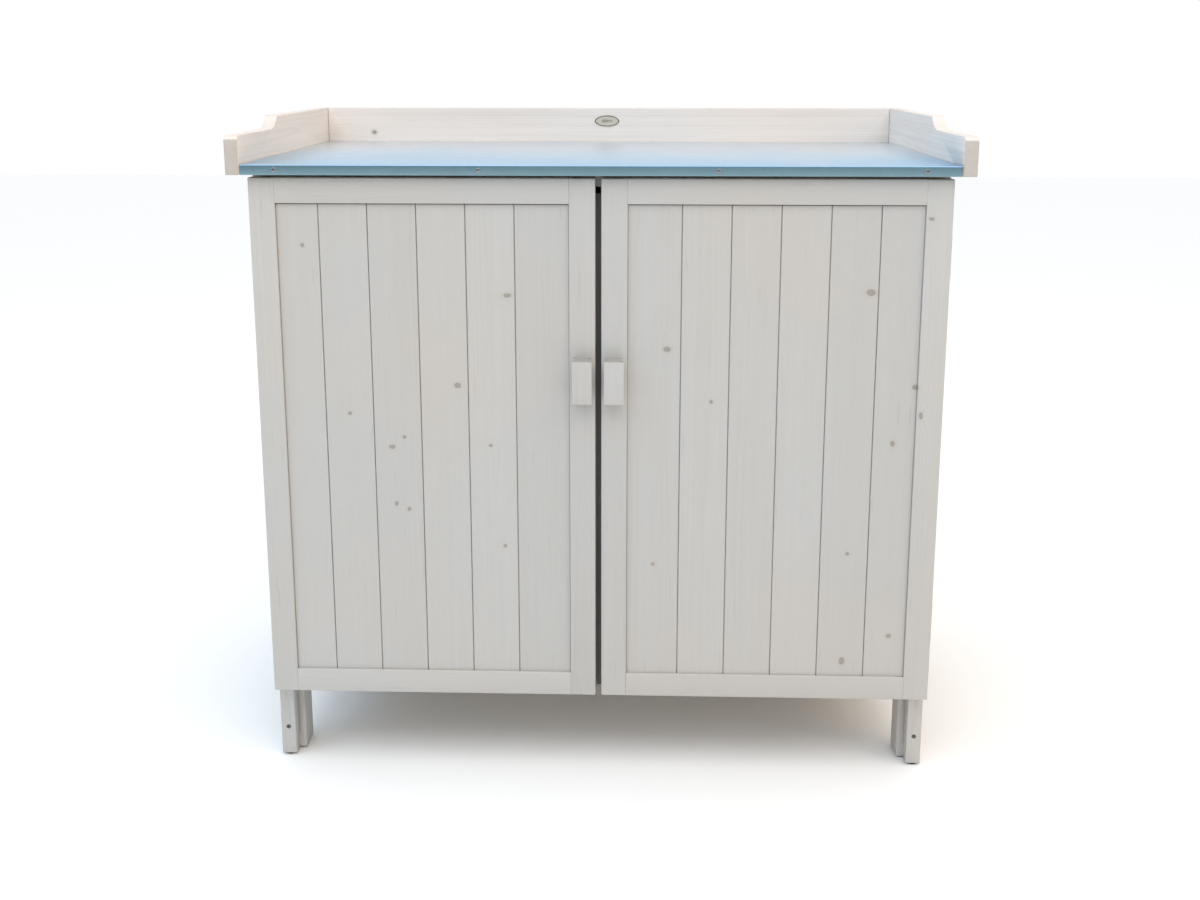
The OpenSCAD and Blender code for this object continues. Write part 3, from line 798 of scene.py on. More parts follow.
def mark_timber(mesh, seed):
    """Stores where each corner lies in its own timber, that timber's size, and a seed."""
    points, part = mesh_points(mesh)
    local = np.zeros_like(points)
    half = np.zeros_like(points)
    seeds = np.zeros(len(points), np.float32)
    chance = random.Random(seed)
    for number in np.unique(part):
        own = part == number
        low, high = points[own].min(0), points[own].max(0)
        order = list(FIBRE_ORDER[int(np.argmax(high - low))])
        local[own] = (points[own] - (low + high) / 2)[:, order]
        half[own] = ((high - low) / 2)[order]
        seeds[own] = chance.uniform(0.0, 100.0)
    for name, kind, values in (
        ("local", "FLOAT_VECTOR", local),
        ("half", "FLOAT_VECTOR", half),
        ("seed", "FLOAT", seeds),
    ):
        stored = mesh.attributes.new(name, kind, "POINT")
        stored.data.foreach_set("value" if kind == "FLOAT" else "vector", values.ravel())


def add_piece(name, mesh, body, nodes, slot, material=None, smooth=35.0):
    """Places a finished mesh on its body, in place of its CAD nodes."""
    piece = bpy.data.objects.new(name, mesh)
    bpy.context.scene.collection.objects.link(piece)
    if material:
        mesh.materials.clear()
        mesh.materials.append(finish_material(material))
    mesh.shade_smooth()
    mesh.set_sharp_from_angle(angle=math.radians(smooth))
    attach(piece, body)
    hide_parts(*nodes)
    return piece


def timber_piece(name, node, body, width, share=None, slot="limewashed_wood", material=None):
    """A timber from its CAD node, with rounded edges and its own grain."""
    mesh = rounded(cad_copy(node), width, share)
    mark_timber(mesh, "timber " + name)
    add_piece(name, mesh, body, [node], slot, material or "Limewashed cabinet")


def dress_cad(node, material):
    """Gives a carried-over CAD node its procedural material."""
    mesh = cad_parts[node].data
    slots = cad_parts[node].material_slots
    if not len(slots):
        mesh.materials.append(finish_material(material))
    for slot in slots:
        slot.material = finish_material(material)


def box_mesh(shape, low, high):
    """Adds a box to a bmesh and returns its corners."""
    size = Vector(high) - Vector(low)
    middle = (Vector(high) + Vector(low)) / 2
    place = Matrix.Translation(middle) @ Matrix.Diagonal((*size, 1.0))
    return bmesh.ops.create_cube(shape, size=1.0, matrix=place)["verts"]


def lathe(shape, profile, steps=24):
    """Adds a closed turned shape; the profile runs from pole to pole as (radius, z)."""
    rings = []
    for radius, z in profile:
        if radius < 1e-6:
            rings.append([shape.verts.new((0.0, 0.0, z))])
            continue
        rings.append(
            [
                shape.verts.new(
                    (
                        radius * math.cos(math.tau * step / steps),
                        radius * math.sin(math.tau * step / steps),
                        z,
                    )
                )
                for step in range(steps)
            ]
        )
    for upper, lower in zip(rings, rings[1:]):
        for step in range(steps):
            after = (step + 1) % steps
            corners = [
                upper[step % len(upper)],
                lower[step % len(lower)],
                lower[after % len(lower)],
                upper[after % len(upper)],
            ]
            shape.faces.new(list(dict.fromkeys(corners)))
    bmesh.ops.recalc_face_normals(shape, faces=shape.faces)


def extruded(shape, outline, start, end, steps=1):
    """Adds a closed bar: an outline of (y, z) corners drawn along X."""
    stations = [start + (end - start) * step / steps for step in range(steps + 1)]
    rings = [[shape.verts.new((x, y, z)) for y, z in outline] for x in stations]
    count = len(outline)
    for near, far in zip(rings, rings[1:]):
        for index in range(count):
            after = (index + 1) % count
            shape.faces.new((near[index], near[after], far[after], far[index]))
    shape.faces.new(rings[0][::-1])
    shape.faces.new(rings[-1])
    bmesh.ops.recalc_face_normals(shape, faces=shape.faces)


def arc(centre, radius, start, end, steps=6):
    """Points on an arc, angles in degrees."""
    turns = [math.radians(start + (end - start) * step / steps) for step in range(steps + 1)]
    return [
        (centre[0] + radius * math.cos(turn), centre[1] + radius * math.sin(turn))
        for turn in turns
    ]


def to_mesh(shape, name):
    """A mesh from a bmesh, which is freed."""
    mesh = bpy.data.meshes.new(name)
    shape.to_mesh(mesh)
    shape.free()
    return mesh


# ---- Geometry Nodes ----


def geometry_tree(name, inputs):
    """A Geometry Nodes tree with named inputs; returns tree, wiring and end nodes."""
    tree = bpy.data.node_groups.new(name, "GeometryNodeTree")
    tree.interface.new_socket("Geometry", in_out="INPUT", socket_type="NodeSocketGeometry")
    for label, kind in inputs:
        tree.interface.new_socket(label, in_out="INPUT", socket_type=kind)
    tree.interface.new_socket("Geometry", in_out="OUTPUT", socket_type="NodeSocketGeometry")
    w = Wiring(tree)
    return tree, w, w.node("NodeGroupInput"), w.node("NodeGroupOutput")


def close_tree(w, given, result, geometry):
    """Ends a tree in Realize Instances and Set Material."""
    real = w.node("GeometryNodeRealizeInstances")
    w.put(real.inputs[0], geometry)
    paint = w.node("GeometryNodeSetMaterial")
    w.put(paint.inputs["Geometry"], real.outputs[0])
    w.put(paint.inputs["Material"], given.outputs["Material"])
    w.put(result.inputs["Geometry"], paint.outputs[0])


def template_node(w, given, label):
    """An Object Info node for one of the tree's template inputs."""
    made = w.node("GeometryNodeObjectInfo", transform_space="ORIGINAL")
    w.put(made.inputs["Object"], given.outputs[label])
    made.inputs["As Instance"].default_value = True
    return made.outputs["Geometry"]


def board_row_tree():
    """Tree that lays boards side by side: a first, equal middle ones and a last."""
    known = bpy.data.node_groups.get("Board row")
    if known:
        return known
    tree, w, given, result = geometry_tree(
        "Board row",
        (
            ("Boards", "NodeSocketInt"),
            ("First Cover", "NodeSocketFloat"),
            ("Cover", "NodeSocketFloat"),
            ("First Board", "NodeSocketObject"),
            ("Middle Board", "NodeSocketObject"),
            ("Last Board", "NodeSocketObject"),
            ("Material", "NodeSocketMaterial"),
        ),
    )
    line = w.node("GeometryNodeMeshLine", mode="OFFSET", count_mode="TOTAL")
    w.put(line.inputs["Count"], given.outputs["Boards"])
    w.put(line.inputs["Offset"], w.combine(given.outputs["Cover"], 0.0, 0.0))
    index = w.node("GeometryNodeInputIndex").outputs[0]
    later = w.math("GREATER_THAN", index, 0.5)
    move = w.math("SUBTRACT", given.outputs["First Cover"], given.outputs["Cover"])
    moved = w.node("GeometryNodeSetPosition")
    w.put(moved.inputs["Geometry"], line.outputs[0])
    w.put(moved.inputs["Offset"], w.combine(w.math("MULTIPLY", move, later), 0.0, 0.0))
    last_index = w.math("SUBTRACT", given.outputs["Boards"], 1.5)
    last = w.math("GREATER_THAN", index, last_index)
    middle = w.math("SUBTRACT", later, last)
    first = w.math("SUBTRACT", 1.0, later)
    joined = w.node("GeometryNodeJoinGeometry")
    for label, chosen in (("First", first), ("Middle", middle), ("Last", last)):
        copies = w.node("GeometryNodeInstanceOnPoints")
        w.put(copies.inputs["Points"], moved.outputs[0])
        w.put(copies.inputs["Selection"], chosen)
        w.put(copies.inputs["Instance"], template_node(w, given, label + " Board"))
        w.put(joined.inputs[0], copies.outputs[0])
    close_tree(w, given, result, joined.outputs[0])
    return tree


def fitting_tree():
    """Tree that sets a screw or glide on each point, facing as the point says."""
    known = bpy.data.node_groups.get("Fittings")
    if known:
        return known
    tree, w, given, result = geometry_tree(
        "Fittings",
        (
            ("Fitting", "NodeSocketObject"),
            ("Turn", "NodeSocketFloat"),
            ("Seed", "NodeSocketInt"),
            ("Material", "NodeSocketMaterial"),
        ),
    )
    facing = w.node("GeometryNodeInputNamedAttribute", data_type="FLOAT_VECTOR")
    facing.inputs["Name"].default_value = "facing"
    scale = w.node("GeometryNodeInputNamedAttribute", data_type="FLOAT")
    scale.inputs["Name"].default_value = "size"
    align = w.node("FunctionNodeAlignRotationToVector", axis="Z")
    w.put(align.inputs["Vector"], facing.outputs[0])
    chance = w.node("FunctionNodeRandomValue", data_type="FLOAT")
    numbers = [socket for socket in chance.inputs if socket.enabled]
    named = {socket.name: socket for socket in numbers}
    named["Min"].default_value = 0.0
    w.put(named["Max"], given.outputs["Turn"])
    w.put(named["Seed"], given.outputs["Seed"])
    spin = w.node("FunctionNodeAxisAngleToRotation")
    spin.inputs["Axis"].default_value = (0.0, 0.0, 1.0)
    w.put(spin.inputs["Angle"], [out for out in chance.outputs if out.enabled][0])
    turned = w.node("FunctionNodeRotateRotation", rotation_space="LOCAL")
    w.put(turned.inputs["Rotation"], align.outputs[0])
    w.put(turned.inputs["Rotate By"], spin.outputs[0])
    copies = w.node("GeometryNodeInstanceOnPoints")
    w.put(copies.inputs["Points"], given.outputs["Geometry"])
    w.put(copies.inputs["Instance"], template_node(w, given, "Fitting"))
    w.put(copies.inputs["Rotation"], turned.outputs[0])
    w.put(copies.inputs["Scale"], w.combine(scale.outputs[0], scale.outputs[0], scale.outputs[0]))
    close_tree(w, given, result, copies.outputs[0])
    return tree


def grow(tree, base, inputs):
    """Runs a tree on a base mesh and returns a plain mesh."""
    carrier = bpy.data.objects.new("carrier", base)
    bpy.context.scene.collection.objects.link(carrier)
    modifier = carrier.modifiers.new("Grow", "NODES")
    modifier.node_group = tree
    for item in tree.interface.items_tree:
        if item.item_type == "SOCKET" and item.in_out == "INPUT" and item.name in inputs:
            modifier[item.identifier] = inputs[item.name]
    return plain_result(carrier)


def template_object(name, mesh):
    """A hidden helper object that a tree copies."""
    helper = bpy.data.objects.new(name, mesh)
    bpy.context.scene.collection.objects.link(helper)
    return helper


def drop_templates(*helpers):
    """Removes helper objects."""
    for helper in set(helpers):
        bpy.data.objects.remove(helper)


# ---- Tongued boards ----


def board_mesh(cover, thickness, long, grooved, tongued):
    """One board, X across from groove to tongue, Y from face to back, Z along the fibre."""
    own = sizes()
    chamfer = own.board_chamfer
    reach = own.tongue_length
    slack = 0.25 * MM
    mid = thickness / 2
    side = cover - own.board_gap
    edge = 0.6 * MM
    outline = [(0.0, chamfer), (chamfer * 0.3, chamfer * 0.3), (chamfer, 0.0)]
    outline += [(side - chamfer, 0.0), (side - chamfer * 0.3, chamfer * 0.3), (side, chamfer)]
    if tongued:
        half = own.tongue_thickness / 2
        outline += [(side, mid - half), (side + reach, mid - half)]
        outline += [(side + reach, mid + half), (side, mid + half)]
    outline += [(side, thickness - edge), (side - edge, thickness)]
    outline += [(edge, thickness), (0.0, thickness - edge)]
    if grooved:
        half = own.tongue_thickness / 2 + slack
        outline += [(0.0, mid + half), (reach + slack, mid + half)]
        outline += [(reach + slack, mid - half), (0.0, mid - half)]
    shape = bmesh.new()
    extruded(shape, outline, 0.0, long)
    turn = Matrix(((0, 1, 0, 0), (0, 0, 1, 0), (1, 0, 0, 0), (0, 0, 0, 1)))
    shape.transform(turn)
    return to_mesh(shape, "board")


def board_row(name, body, nodes, covers, thickness, long, place, slot, material):
    """A row of tongued boards laid by the board row tree."""
    first, middle, last = (
        template_object(label, board_mesh(cover, thickness, long, grooved, tongued))
        for label, cover, grooved, tongued in (
            ("first", covers[0], False, True),
            ("middle", covers[1], True, True),
            ("last", covers[-1], True, False),
        )
    )
    mesh = grow(
        board_row_tree(),
        bpy.data.meshes.new("row"),
        {
            "Boards": len(covers),
            "First Cover": covers[0],
            "Cover": covers[1],
            "First Board": first,
            "Middle Board": middle,
            "Last Board": last,
            "Material": finish_material(material),
        },
    )
    drop_templates(first, middle, last)
    mesh.transform(place)
    mark_timber(mesh, "row " + name)
    add_piece(name, mesh, body, nodes, slot, smooth=20.0)


def row_place(origin, across, inward, along):
    """Matrix that lays a row at its origin along three directions."""
    columns = [Vector(across), Vector(inward), Vector(along)]
    turn = Matrix(columns).transposed().to_4x4()
    return Matrix.Translation(origin) @ turn


def even_row(name, node, width, thickness, long, place, slot, material):
    """A row of equal boards that stands for one CAD node."""
    count = len(cad_solids(node))
    cover = width / count
    covers = [cover] * (count - 1) + [cover + sizes().board_gap]
    board_row(name, "cabinet", [node], covers, thickness, long, place, slot, material)


# ---- Screws and glides ----


def fitting_points(nodes, sink):
    """A mesh with one point for each turned fitting of the CAD nodes: place, facing, size."""
    places, facings, radii = [], [], []
    for node in nodes:
        for points in cad_solids(node):
            low, high = points.min(0), points.max(0)
            extent = high - low
            unlike = [abs(extent[(a + 1) % 3] - extent[(a + 2) % 3]) for a in range(3)]
            axis = int(np.argmin(unlike))
            middle = (low + high) / 2
            radial = np.linalg.norm(np.delete(points - middle, axis, 1), axis=1)
            near_low = points[:, axis] < middle[axis]
            low_radius = radial[near_low].max()
            high_radius = radial[~near_low].max()
            facing = np.zeros(3)
            facing[axis] = 1.0 if high_radius > low_radius else -1.0
            head = middle.copy()
            head[axis] = high[axis] if high_radius > low_radius else low[axis]
            places.append(head - facing * sink)
            facings.append(facing)
            radii.append(max(low_radius, high_radius))
    base = bpy.data.meshes.new("points")
    base.from_pydata([tuple(map(float, place)) for place in places], [], [])
    facing = base.attributes.new("facing", "FLOAT_VECTOR", "POINT")
    facing.data.foreach_set("vector", np.array(facings, np.float32).ravel())
    size = base.attributes.new("size", "FLOAT", "POINT")
    size.data.foreach_set("value", np.array(radii, np.float32))
    return base


def cross_cutter():
    """A tapered cross that cuts the recess of a screw head one unit in radius."""
    shape = bmesh.new()
    for turn in (0.0, math.pi / 2):
        for corner in box_mesh(shape, (-0.58, -0.13, -0.42), (0.58, 0.13, 0.2)):
            if corner.co.z < 0:
                corner.co.x *= 0.35
                corner.co.y *= 0.6
            corner.co = Matrix.Rotation(turn, 3, "Z") @ corner.co
    return to_mesh(shape, "cross")


def screw_mesh(profile):
    """A screw one unit in head radius, its head's face at z = 0, with a cross recess."""
    shape = bmesh.new()
    lathe(shape, profile)
    head = template_object("head", to_mesh(shape, "head"))
    cutter = template_object("cutter", cross_cutter())
    cut = head.modifiers.new("Recess", "BOOLEAN")
    cut.operation = "DIFFERENCE"
    cut.object = cutter
    cut.solver = "EXACT"
    cut.use_self = True
    mesh = plain_result(head)
    drop_templates(cutter)
    return mesh


COUNTERSUNK = (
    (0.0, 0.0),
    (0.88, 0.0),
    (0.96, -0.03),
    (0.97, -0.09),
    (0.5, -0.66),
    (0.46, -4.4),
    (0.2, -4.9),
    (0.0, -5.0),
)
PAN = (
    (0.0, 0.0),
    (0.35, -0.015),
    (0.66, -0.07),
    (0.88, -0.18),
    (0.98, -0.3),
    (1.0, -0.4),
    (0.46, -0.41),
    (0.42, -4.5),
    (0.2, -4.9),
    (0.0, -5.0),
)
GLIDE = (
    (0.0, 0.0),
    (0.74, 0.0),
    (0.86, -0.03),
    (0.95, -0.1),
    (1.0, -0.2),
    (1.0, -0.33),
    (0.97, -0.37),
    (0.19, -0.375),
    (0.156, -0.42),
    (0.156, -1.5),
    (0.0, -1.6),
)


def fittings(name, body, nodes, mesh, sink, seed, slot, material):
    """Sets one fitting at every place of the CAD nodes."""
    template = template_object("fitting", mesh)
    made = grow(
        fitting_tree(),
        fitting_points(nodes, sink),
        {
            "Fitting": template,
            "Turn": math.tau,
            "Seed": seed,
            "Material": finish_material(material),
        },
    )
    drop_templates(template)
    add_piece(name, made, body, nodes, slot, smooth=30.0)


# ---- Operators ----


class POTTING_BENCH_OT_stage(bpy.types.Operator):
    """Sets up the floor, the soft lights, the surround and the camera"""

    bl_idname = "potting_bench.stage"
    bl_label = "Stage"

    def execute(self, context):
        """Makes the stage."""
        scene = context.scene
        stage = scene.potting_bench_stage
        scene.view_settings.view_transform = "Standard"
        self.floor()
        self.surround(scene, stage.surround)
        target = Vector((0.0, 0.0, 0.5))
        cool, warm, plain = (0.6, 0.82, 1.0), (1.0, 0.82, 0.6), (1.0, 0.99, 0.985)
        self.softbox("Overhead", (0.0, -1.3, 2.6), target, 3.0, 1.8, stage.overhead, plain)
        self.softbox("Left", (-2.7, -1.3, 2.3), target, 1.6, 1.6, stage.left_light, cool)
        self.softbox("Right", (2.7, -1.3, 2.3), target, 1.6, 1.6, stage.right_light, warm)
        self.camera(scene, stage)
        return {"FINISHED"}

    def floor(self):
        """A pale floor with a soft unevenness."""
        shape = bmesh.new()
        bmesh.ops.create_grid(shape, x_segments=8, y_segments=8, size=9.0)
        floor = bpy.data.objects.new("Floor", to_mesh(shape, "Floor"))
        bpy.context.scene.collection.objects.link(floor)
        material, w, shader = new_material("Floor")
        pale = finishes().floor
        shade = w.noise(w.object_place(), 3.0, 2.0)
        light = tuple(min(1.0, part * 1.01) for part in pale)
        w.put(shader.inputs["Base Color"], w.mix(shade, opaque(pale), opaque(light)))
        shader.inputs["Roughness"].default_value = 0.9
        shader.inputs["Specular IOR Level"].default_value = 0.1
        floor.data.materials.append(material)

    def surround(self, scene, strength):
        """Soft light, cool on the left and warm on the right, low at the horizon's flanks."""
        world = bpy.data.worlds.new("Surround")
        scene.world = world
        world.use_nodes = True
        w = Wiring(world.node_tree)
        nodes = world.node_tree.nodes
        even = nodes["Background"]
        way = w.parts(w.node("ShaderNodeTexCoord").outputs["Generated"])
        cool, warm = (0.83, 0.96, 1.1, 1.0), (1.13, 1.03, 0.92, 1.0)
        w.put(even.inputs["Color"], w.mix(w.between(way[0], -0.8, 0.8), cool, warm))
        rise = w.between(way[2], 0.0, 0.9, strength * 0.4, strength)
        flank = w.between(w.math("ABSOLUTE", way[0]), 0.25, 0.9)
        flank = w.math("MULTIPLY", flank, w.between(way[2], 0.15, 0.6, 0.9, 0.0))
        w.put(even.inputs["Strength"], w.math("MULTIPLY", rise, w.math("SUBTRACT", 1.0, flank)))
        behind = w.between(way[1], -0.7, 0.5)
        dim, bright = (0.36, 0.44, 0.52, 1.0), (1.0, 1.0, 1.0, 1.0)
        reflected = w.node("ShaderNodeBackground")
        w.put(reflected.inputs["Color"], w.mix(behind, dim, bright))
        seen = w.node("ShaderNodeBackground")
        seen.inputs["Color"].default_value = (1.0, 1.0, 1.0, 1.0)
        rays = w.node("ShaderNodeLightPath")
        first = w.node("ShaderNodeMixShader")
        w.put(first.inputs[0], rays.outputs["Is Glossy Ray"])
        w.put(first.inputs[1], even.outputs[0])
        w.put(first.inputs[2], reflected.outputs[0])
        second = w.node("ShaderNodeMixShader")
        w.put(second.inputs[0], rays.outputs["Is Camera Ray"])
        w.put(second.inputs[1], first.outputs[0])
        w.put(second.inputs[2], seen.outputs[0])
        w.put(nodes["World Output"].inputs["Surface"], second.outputs[0])

    def softbox(self, name, place, target, width, height, power, tint):
        """One large area light that faces the bench."""
        light = bpy.data.lights.new(name, "AREA")
        light.shape = "RECTANGLE"
        light.size = width
        light.size_y = height
        light.energy = power
        light.color = tint
        lamp = bpy.data.objects.new(name, light)
        lamp.location = place
        aim = target - Vector(place)
        lamp.rotation_euler = aim.to_track_quat("-Z", "Y").to_euler()
        bpy.context.scene.collection.objects.link(lamp)

    def camera(self, scene, stage):
        """The camera, a little above the worktop, looking slightly down."""
        lens = bpy.data.cameras.new("Camera")
        lens.lens = stage.camera_lens
        lens.sensor_width = 36.0
        lens.sensor_fit = "HORIZONTAL"
        lens.shift_y = stage.camera_shift
        lens.clip_end = 100.0
        camera = bpy.data.objects.new("Camera", lens)
        camera.location = stage.camera_place
        camera.rotation_euler = (math.pi / 2 - stage.camera_pitch, 0.0, stage.camera_yaw)
        scene.collection.objects.link(camera)
        scene.camera = camera


class POTTING_BENCH_OT_worktop(bpy.types.Operator):
    """Builds the worktop board and the zinc sheet folded over its front"""

    bl_idname = "potting_bench.worktop"
    bl_label = "Worktop"

    def execute(self, context):
        """Makes board and sheet."""
        own = sizes()
        timber_piece(
            "worktop_board",
            "worktop_board",
            "cabinet",
            own.joint_edge,
            slot="inner_wood",
            material="Inner wood",
        )
        low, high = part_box("zinc_sheet")
        sheet = own.sheet_thickness
        fold, hem = own.fold_radius, own.hem_radius
        outer = [(high.y - 0.3 * MM, high.z)]
        outer += arc((low.y + fold, high.z - fold), fold, 90, 180, 8)
        outer += arc((low.y + hem, low.z + hem), hem, 180, 270, 6)
        outer += [(low.y + own.hem_depth, low.z)]
        inner = [(high.y - 0.3 * MM, high.z - sheet)]
        inner += arc((low.y + fold, high.z - fold), fold - sheet, 90, 180, 8)
        inner += arc((low.y + hem, low.z + hem), hem - sheet, 180, 270, 6)
        inner += [(low.y + own.hem_depth, low.z + sheet)]
        shape = bmesh.new()
        start = low.x + own.sheet_end_gap
        extruded(shape, outer + inner[::-1], start, high.x - own.sheet_end_gap, 40)
        mesh = to_mesh(shape, "zinc_sheet_skin")
        points = mesh_points(mesh)[0]
        below = np.clip((high.z - points[:, 2]) / fold, 0.0, 1.0).astype(np.float32)
        lip = mesh.attributes.new("lip", "FLOAT", "POINT")
        lip.data.foreach_set("value", below)
        add_piece("zinc_worktop", mesh, "cabinet", ["zinc_sheet"], "zinc_sheet", "Zinc sheet", 40.0)
        return {"FINISHED"}


class POTTING_BENCH_OT_upstand(bpy.types.Operator):
    """Builds the two stepped side boards and the back board"""

    bl_idname = "potting_bench.upstand"
    bl_label = "Upstand boards"

    def execute(self, context):
        """Makes the three boards."""
        for name in ("left_side_board", "right_side_board", "back_board"):
            timber_piece(
                name + "_timber",
                name,
                "cabinet",
                sizes().timber_edge,
                material="Limewashed upstand",
            )
        return {"FINISHED"}


class POTTING_BENCH_OT_plaque(bpy.types.Operator):
    """Builds the oval plaque with a raised rim and a plain sprig"""

    bl_idname = "potting_bench.plaque"
    bl_label = "Oval plaque"

    def execute(self, context):
        """Makes the plaque in relief."""
        own = sizes()
        low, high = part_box("oval_plaque")
        centre = (low + high) / 2
        half_x = (high.x - low.x) / 2
        half_z = (high.z - low.z) / 2
        thick = high.y - low.y
        rim, relief = own.plaque_rim, own.plaque_relief
        # Steps from the back edge over the rim to the middle: inset, height, raised
        steps = (
            (0.0, 0.0, 1.0),
            (0.0, thick * 0.6, 1.0),
            (0.2 * MM, thick * 0.85, 1.0),
            (0.5 * MM, thick * 0.97, 1.0),
            (rim * 0.5, thick, 1.0),
            (rim * 0.85, thick * 0.95, 1.0),
            (rim, thick - relief * 0.6, 0.0),
            (rim * 1.2, thick - relief, 0.0),
            (rim * 2.0, thick - relief, 0.0),
            (rim * 3.4, thick - relief * 0.94, 0.0),
        )
        shape = bmesh.new()
        raised = shape.verts.layers.float.new("raised")
        count = 72
        rings = []
        for inset, height, value in steps:
            ring = []
            for step in range(count):
                turn = math.tau * step / count
                wide = (half_x - inset * 1.35) * math.cos(turn)
                tall = (half_z - inset) * math.copysign(abs(math.sin(turn)) ** 1.12, math.sin(turn))
                vertex = shape.verts.new((centre.x + wide, high.y - height, centre.z + tall))
                vertex[raised] = value
                ring.append(vertex)
            rings.append(ring)
        for outer, inner in zip(rings, rings[1:]):
            for step in range(count):
                after = (step + 1) % count
                shape.faces.new((outer[step], outer[after], inner[after], inner[step]))
        shape.faces.new(rings[0][::-1])
        shape.faces.new(rings[-1])
        ground = high.y - thick + relief
        self.sprig(shape, raised, centre, ground)
        bmesh.ops.recalc_face_normals(shape, faces=shape.faces)
        mesh = to_mesh(shape, "plaque_relief")
        add_piece("plaque_with_sprig", mesh, "cabinet", ["oval_plaque"], "plaque", "Oval plaque")
        return {"FINISHED"}

    def leaf(self, shape, raised, root, angle, long, wide, ground):
        """A small domed leaf that lies on the plaque's ground."""
        along = Vector((math.cos(angle), 0.0, math.sin(angle)))
        aside = Vector((-math.sin(angle), 0.0, math.cos(angle)))
        steps = 7
        rows = []
        for step in range(steps + 1):
            share = step / steps
            bulge = wide * math.sin(math.pi * share ** 0.8) + 0.02 * MM
            spine = root + along * (long * share)
            rise = 0.4 * MM * math.sin(math.pi * min(1.0, share * 0.9 + 0.1))
            row = []
            for offset, lift in ((-1.0, 0.0), (-0.5, 0.8), (0.0, 1.0), (0.5, 0.8), (1.0, 0.0)):
                spot = spine + aside * (bulge * offset)
                spot.y = ground + 0.1 * MM - (rise * lift + 0.1 * MM * (lift > 0))
                vertex = shape.verts.new(spot)
                vertex[raised] = 1.0 if lift > 0 else 0.5
                row.append(vertex)
            rows.append(row)
        for near, far in zip(rows, rows[1:]):
            for index in range(4):
                shape.faces.new((near[index], near[index + 1], far[index + 1], far[index]))
            shape.faces.new((near[4], near[0], far[0], far[4]))
        shape.faces.new(rows[0])
        shape.faces.new(rows[-1][::-1])

    def sprig(self, shape, raised, centre, ground):
        """A stem with paired leaves along the oval."""
        start = Vector((centre.x - 10.5 * MM, ground, centre.z))
        self.leaf(shape, raised, start, 0.0, 21 * MM, 0.35 * MM, ground)
        for step in range(5):
            root = start + Vector(((2.5 + 3.6 * step) * MM, 0.0, 0.0))
            size = (4.6 - 0.45 * step) * MM
            for side in (1, -1):
                self.leaf(shape, raised, root, side * 0.85, size, size * 0.2, ground)


class POTTING_BENCH_OT_cabinet_frame(bpy.types.Operator):
    """Builds legs, front strips and rails"""

    bl_idname = "potting_bench.cabinet_frame"
    bl_label = "Legs and rails"

    def execute(self, context):
        """Makes the timbers of the cabinet's frame."""
        width = sizes().timber_edge
        for node in (
            "front_left_leg",
            "front_right_leg",
            "rear_left_leg",
            "rear_right_leg",
            "left_front_strip",
            "right_front_strip",
            "front_top_rail",
            "front_bottom_rail",
            "side_wall_rails",
            "rear_rails",
        ):
            timber_piece(node + "_timber", node, "cabinet", width)
        return {"FINISHED"}


class POTTING_BENCH_OT_walls(bpy.types.Operator):
    """Lays the tongued boards of the side walls and the back wall"""

    bl_idname = "potting_bench.walls"
    bl_label = "Wall boards"

    def execute(self, context):
        """Makes three rows of boards."""
        left, left_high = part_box("left_wall_boards")
        right, right_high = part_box("right_wall_boards")
        back, back_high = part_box("back_wall_boards")
        tall = left_high.z - left.z
        rows = (
            (
                "left_wall_boards",
                left_high.y - left.y,
                left_high.x - left.x,
                row_place((left.x, left_high.y, left.z), (0, -1, 0), (1, 0, 0), (0, 0, 1)),
            ),
            (
                "right_wall_boards",
                right_high.y - right.y,
                right_high.x - right.x,
                row_place((right_high.x, right.y, right.z), (0, 1, 0), (-1, 0, 0), (0, 0, 1)),
            ),
            (
                "back_wall_boards",
                back_high.x - back.x,
                back_high.y - back.y,
                row_place((back_high.x, back_high.y, back.z), (-1, 0, 0), (0, -1, 0), (0, 0, 1)),
            ),
        )
        for node, width, thickness, place in rows:
            even_row(
                node + "_row",
                node,
                width,
                thickness,
                tall,
                place,
                "limewashed_wood",
                "Limewashed cabinet",
            )
        return {"FINISHED"}


class POTTING_BENCH_OT_floor_and_shelf(bpy.types.Operator):
    """Lays the floor boards, the shelf slats and the battens that carry them"""

    bl_idname = "potting_bench.floor_and_shelf"
    bl_label = "Floor and shelf"

    def execute(self, context):
        """Makes floor, shelf and battens."""
        low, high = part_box("floor_boards")
        even_row(
            "floor_boards_row",
            "floor_boards",
            high.x - low.x,
            high.z - low.z,
            high.y - low.y,
            row_place(high, (-1, 0, 0), (0, 0, -1), (0, -1, 0)),
            "inner_wood",
            "Inner wood",
        )
        slats = cad_solids("shelf_slats")
        low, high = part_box("shelf_slats")
        edge = sizes().timber_edge * 1.5
        size = slats[0].max(0) - slats[0].min(0)
        pitch = (high.y - low.y - float(size[1])) / (len(slats) - 1)
        shape = bmesh.new()
        box_mesh(shape, (0, 0, 0), (float(size[1]), float(size[2]), float(size[0])))
        slat = template_object("slat", rounded(to_mesh(shape, "slat"), edge))
        mesh = grow(
            board_row_tree(),
            bpy.data.meshes.new("row"),
            {
                "Boards": len(slats),
                "First Cover": pitch,
                "Cover": pitch,
                "First Board": slat,
                "Middle Board": slat,
                "Last Board": slat,
                "Material": finish_material("Inner wood"),
            },
        )
        drop_templates(slat)
        mesh.transform(row_place((high.x, low.y, high.z), (0, 1, 0), (0, 0, -1), (-1, 0, 0)))
        mark_timber(mesh, "shelf")
        add_piece("shelf_slats_row", mesh, "cabinet", ["shelf_slats"], "inner_wood")
        timber_piece(
            "inner_battens_timber",
            "inner_battens",
            "cabinet",
            sizes().joint_edge,
            slot="inner_wood",
            material="Inner wood",
        )
        return {"FINISHED"}


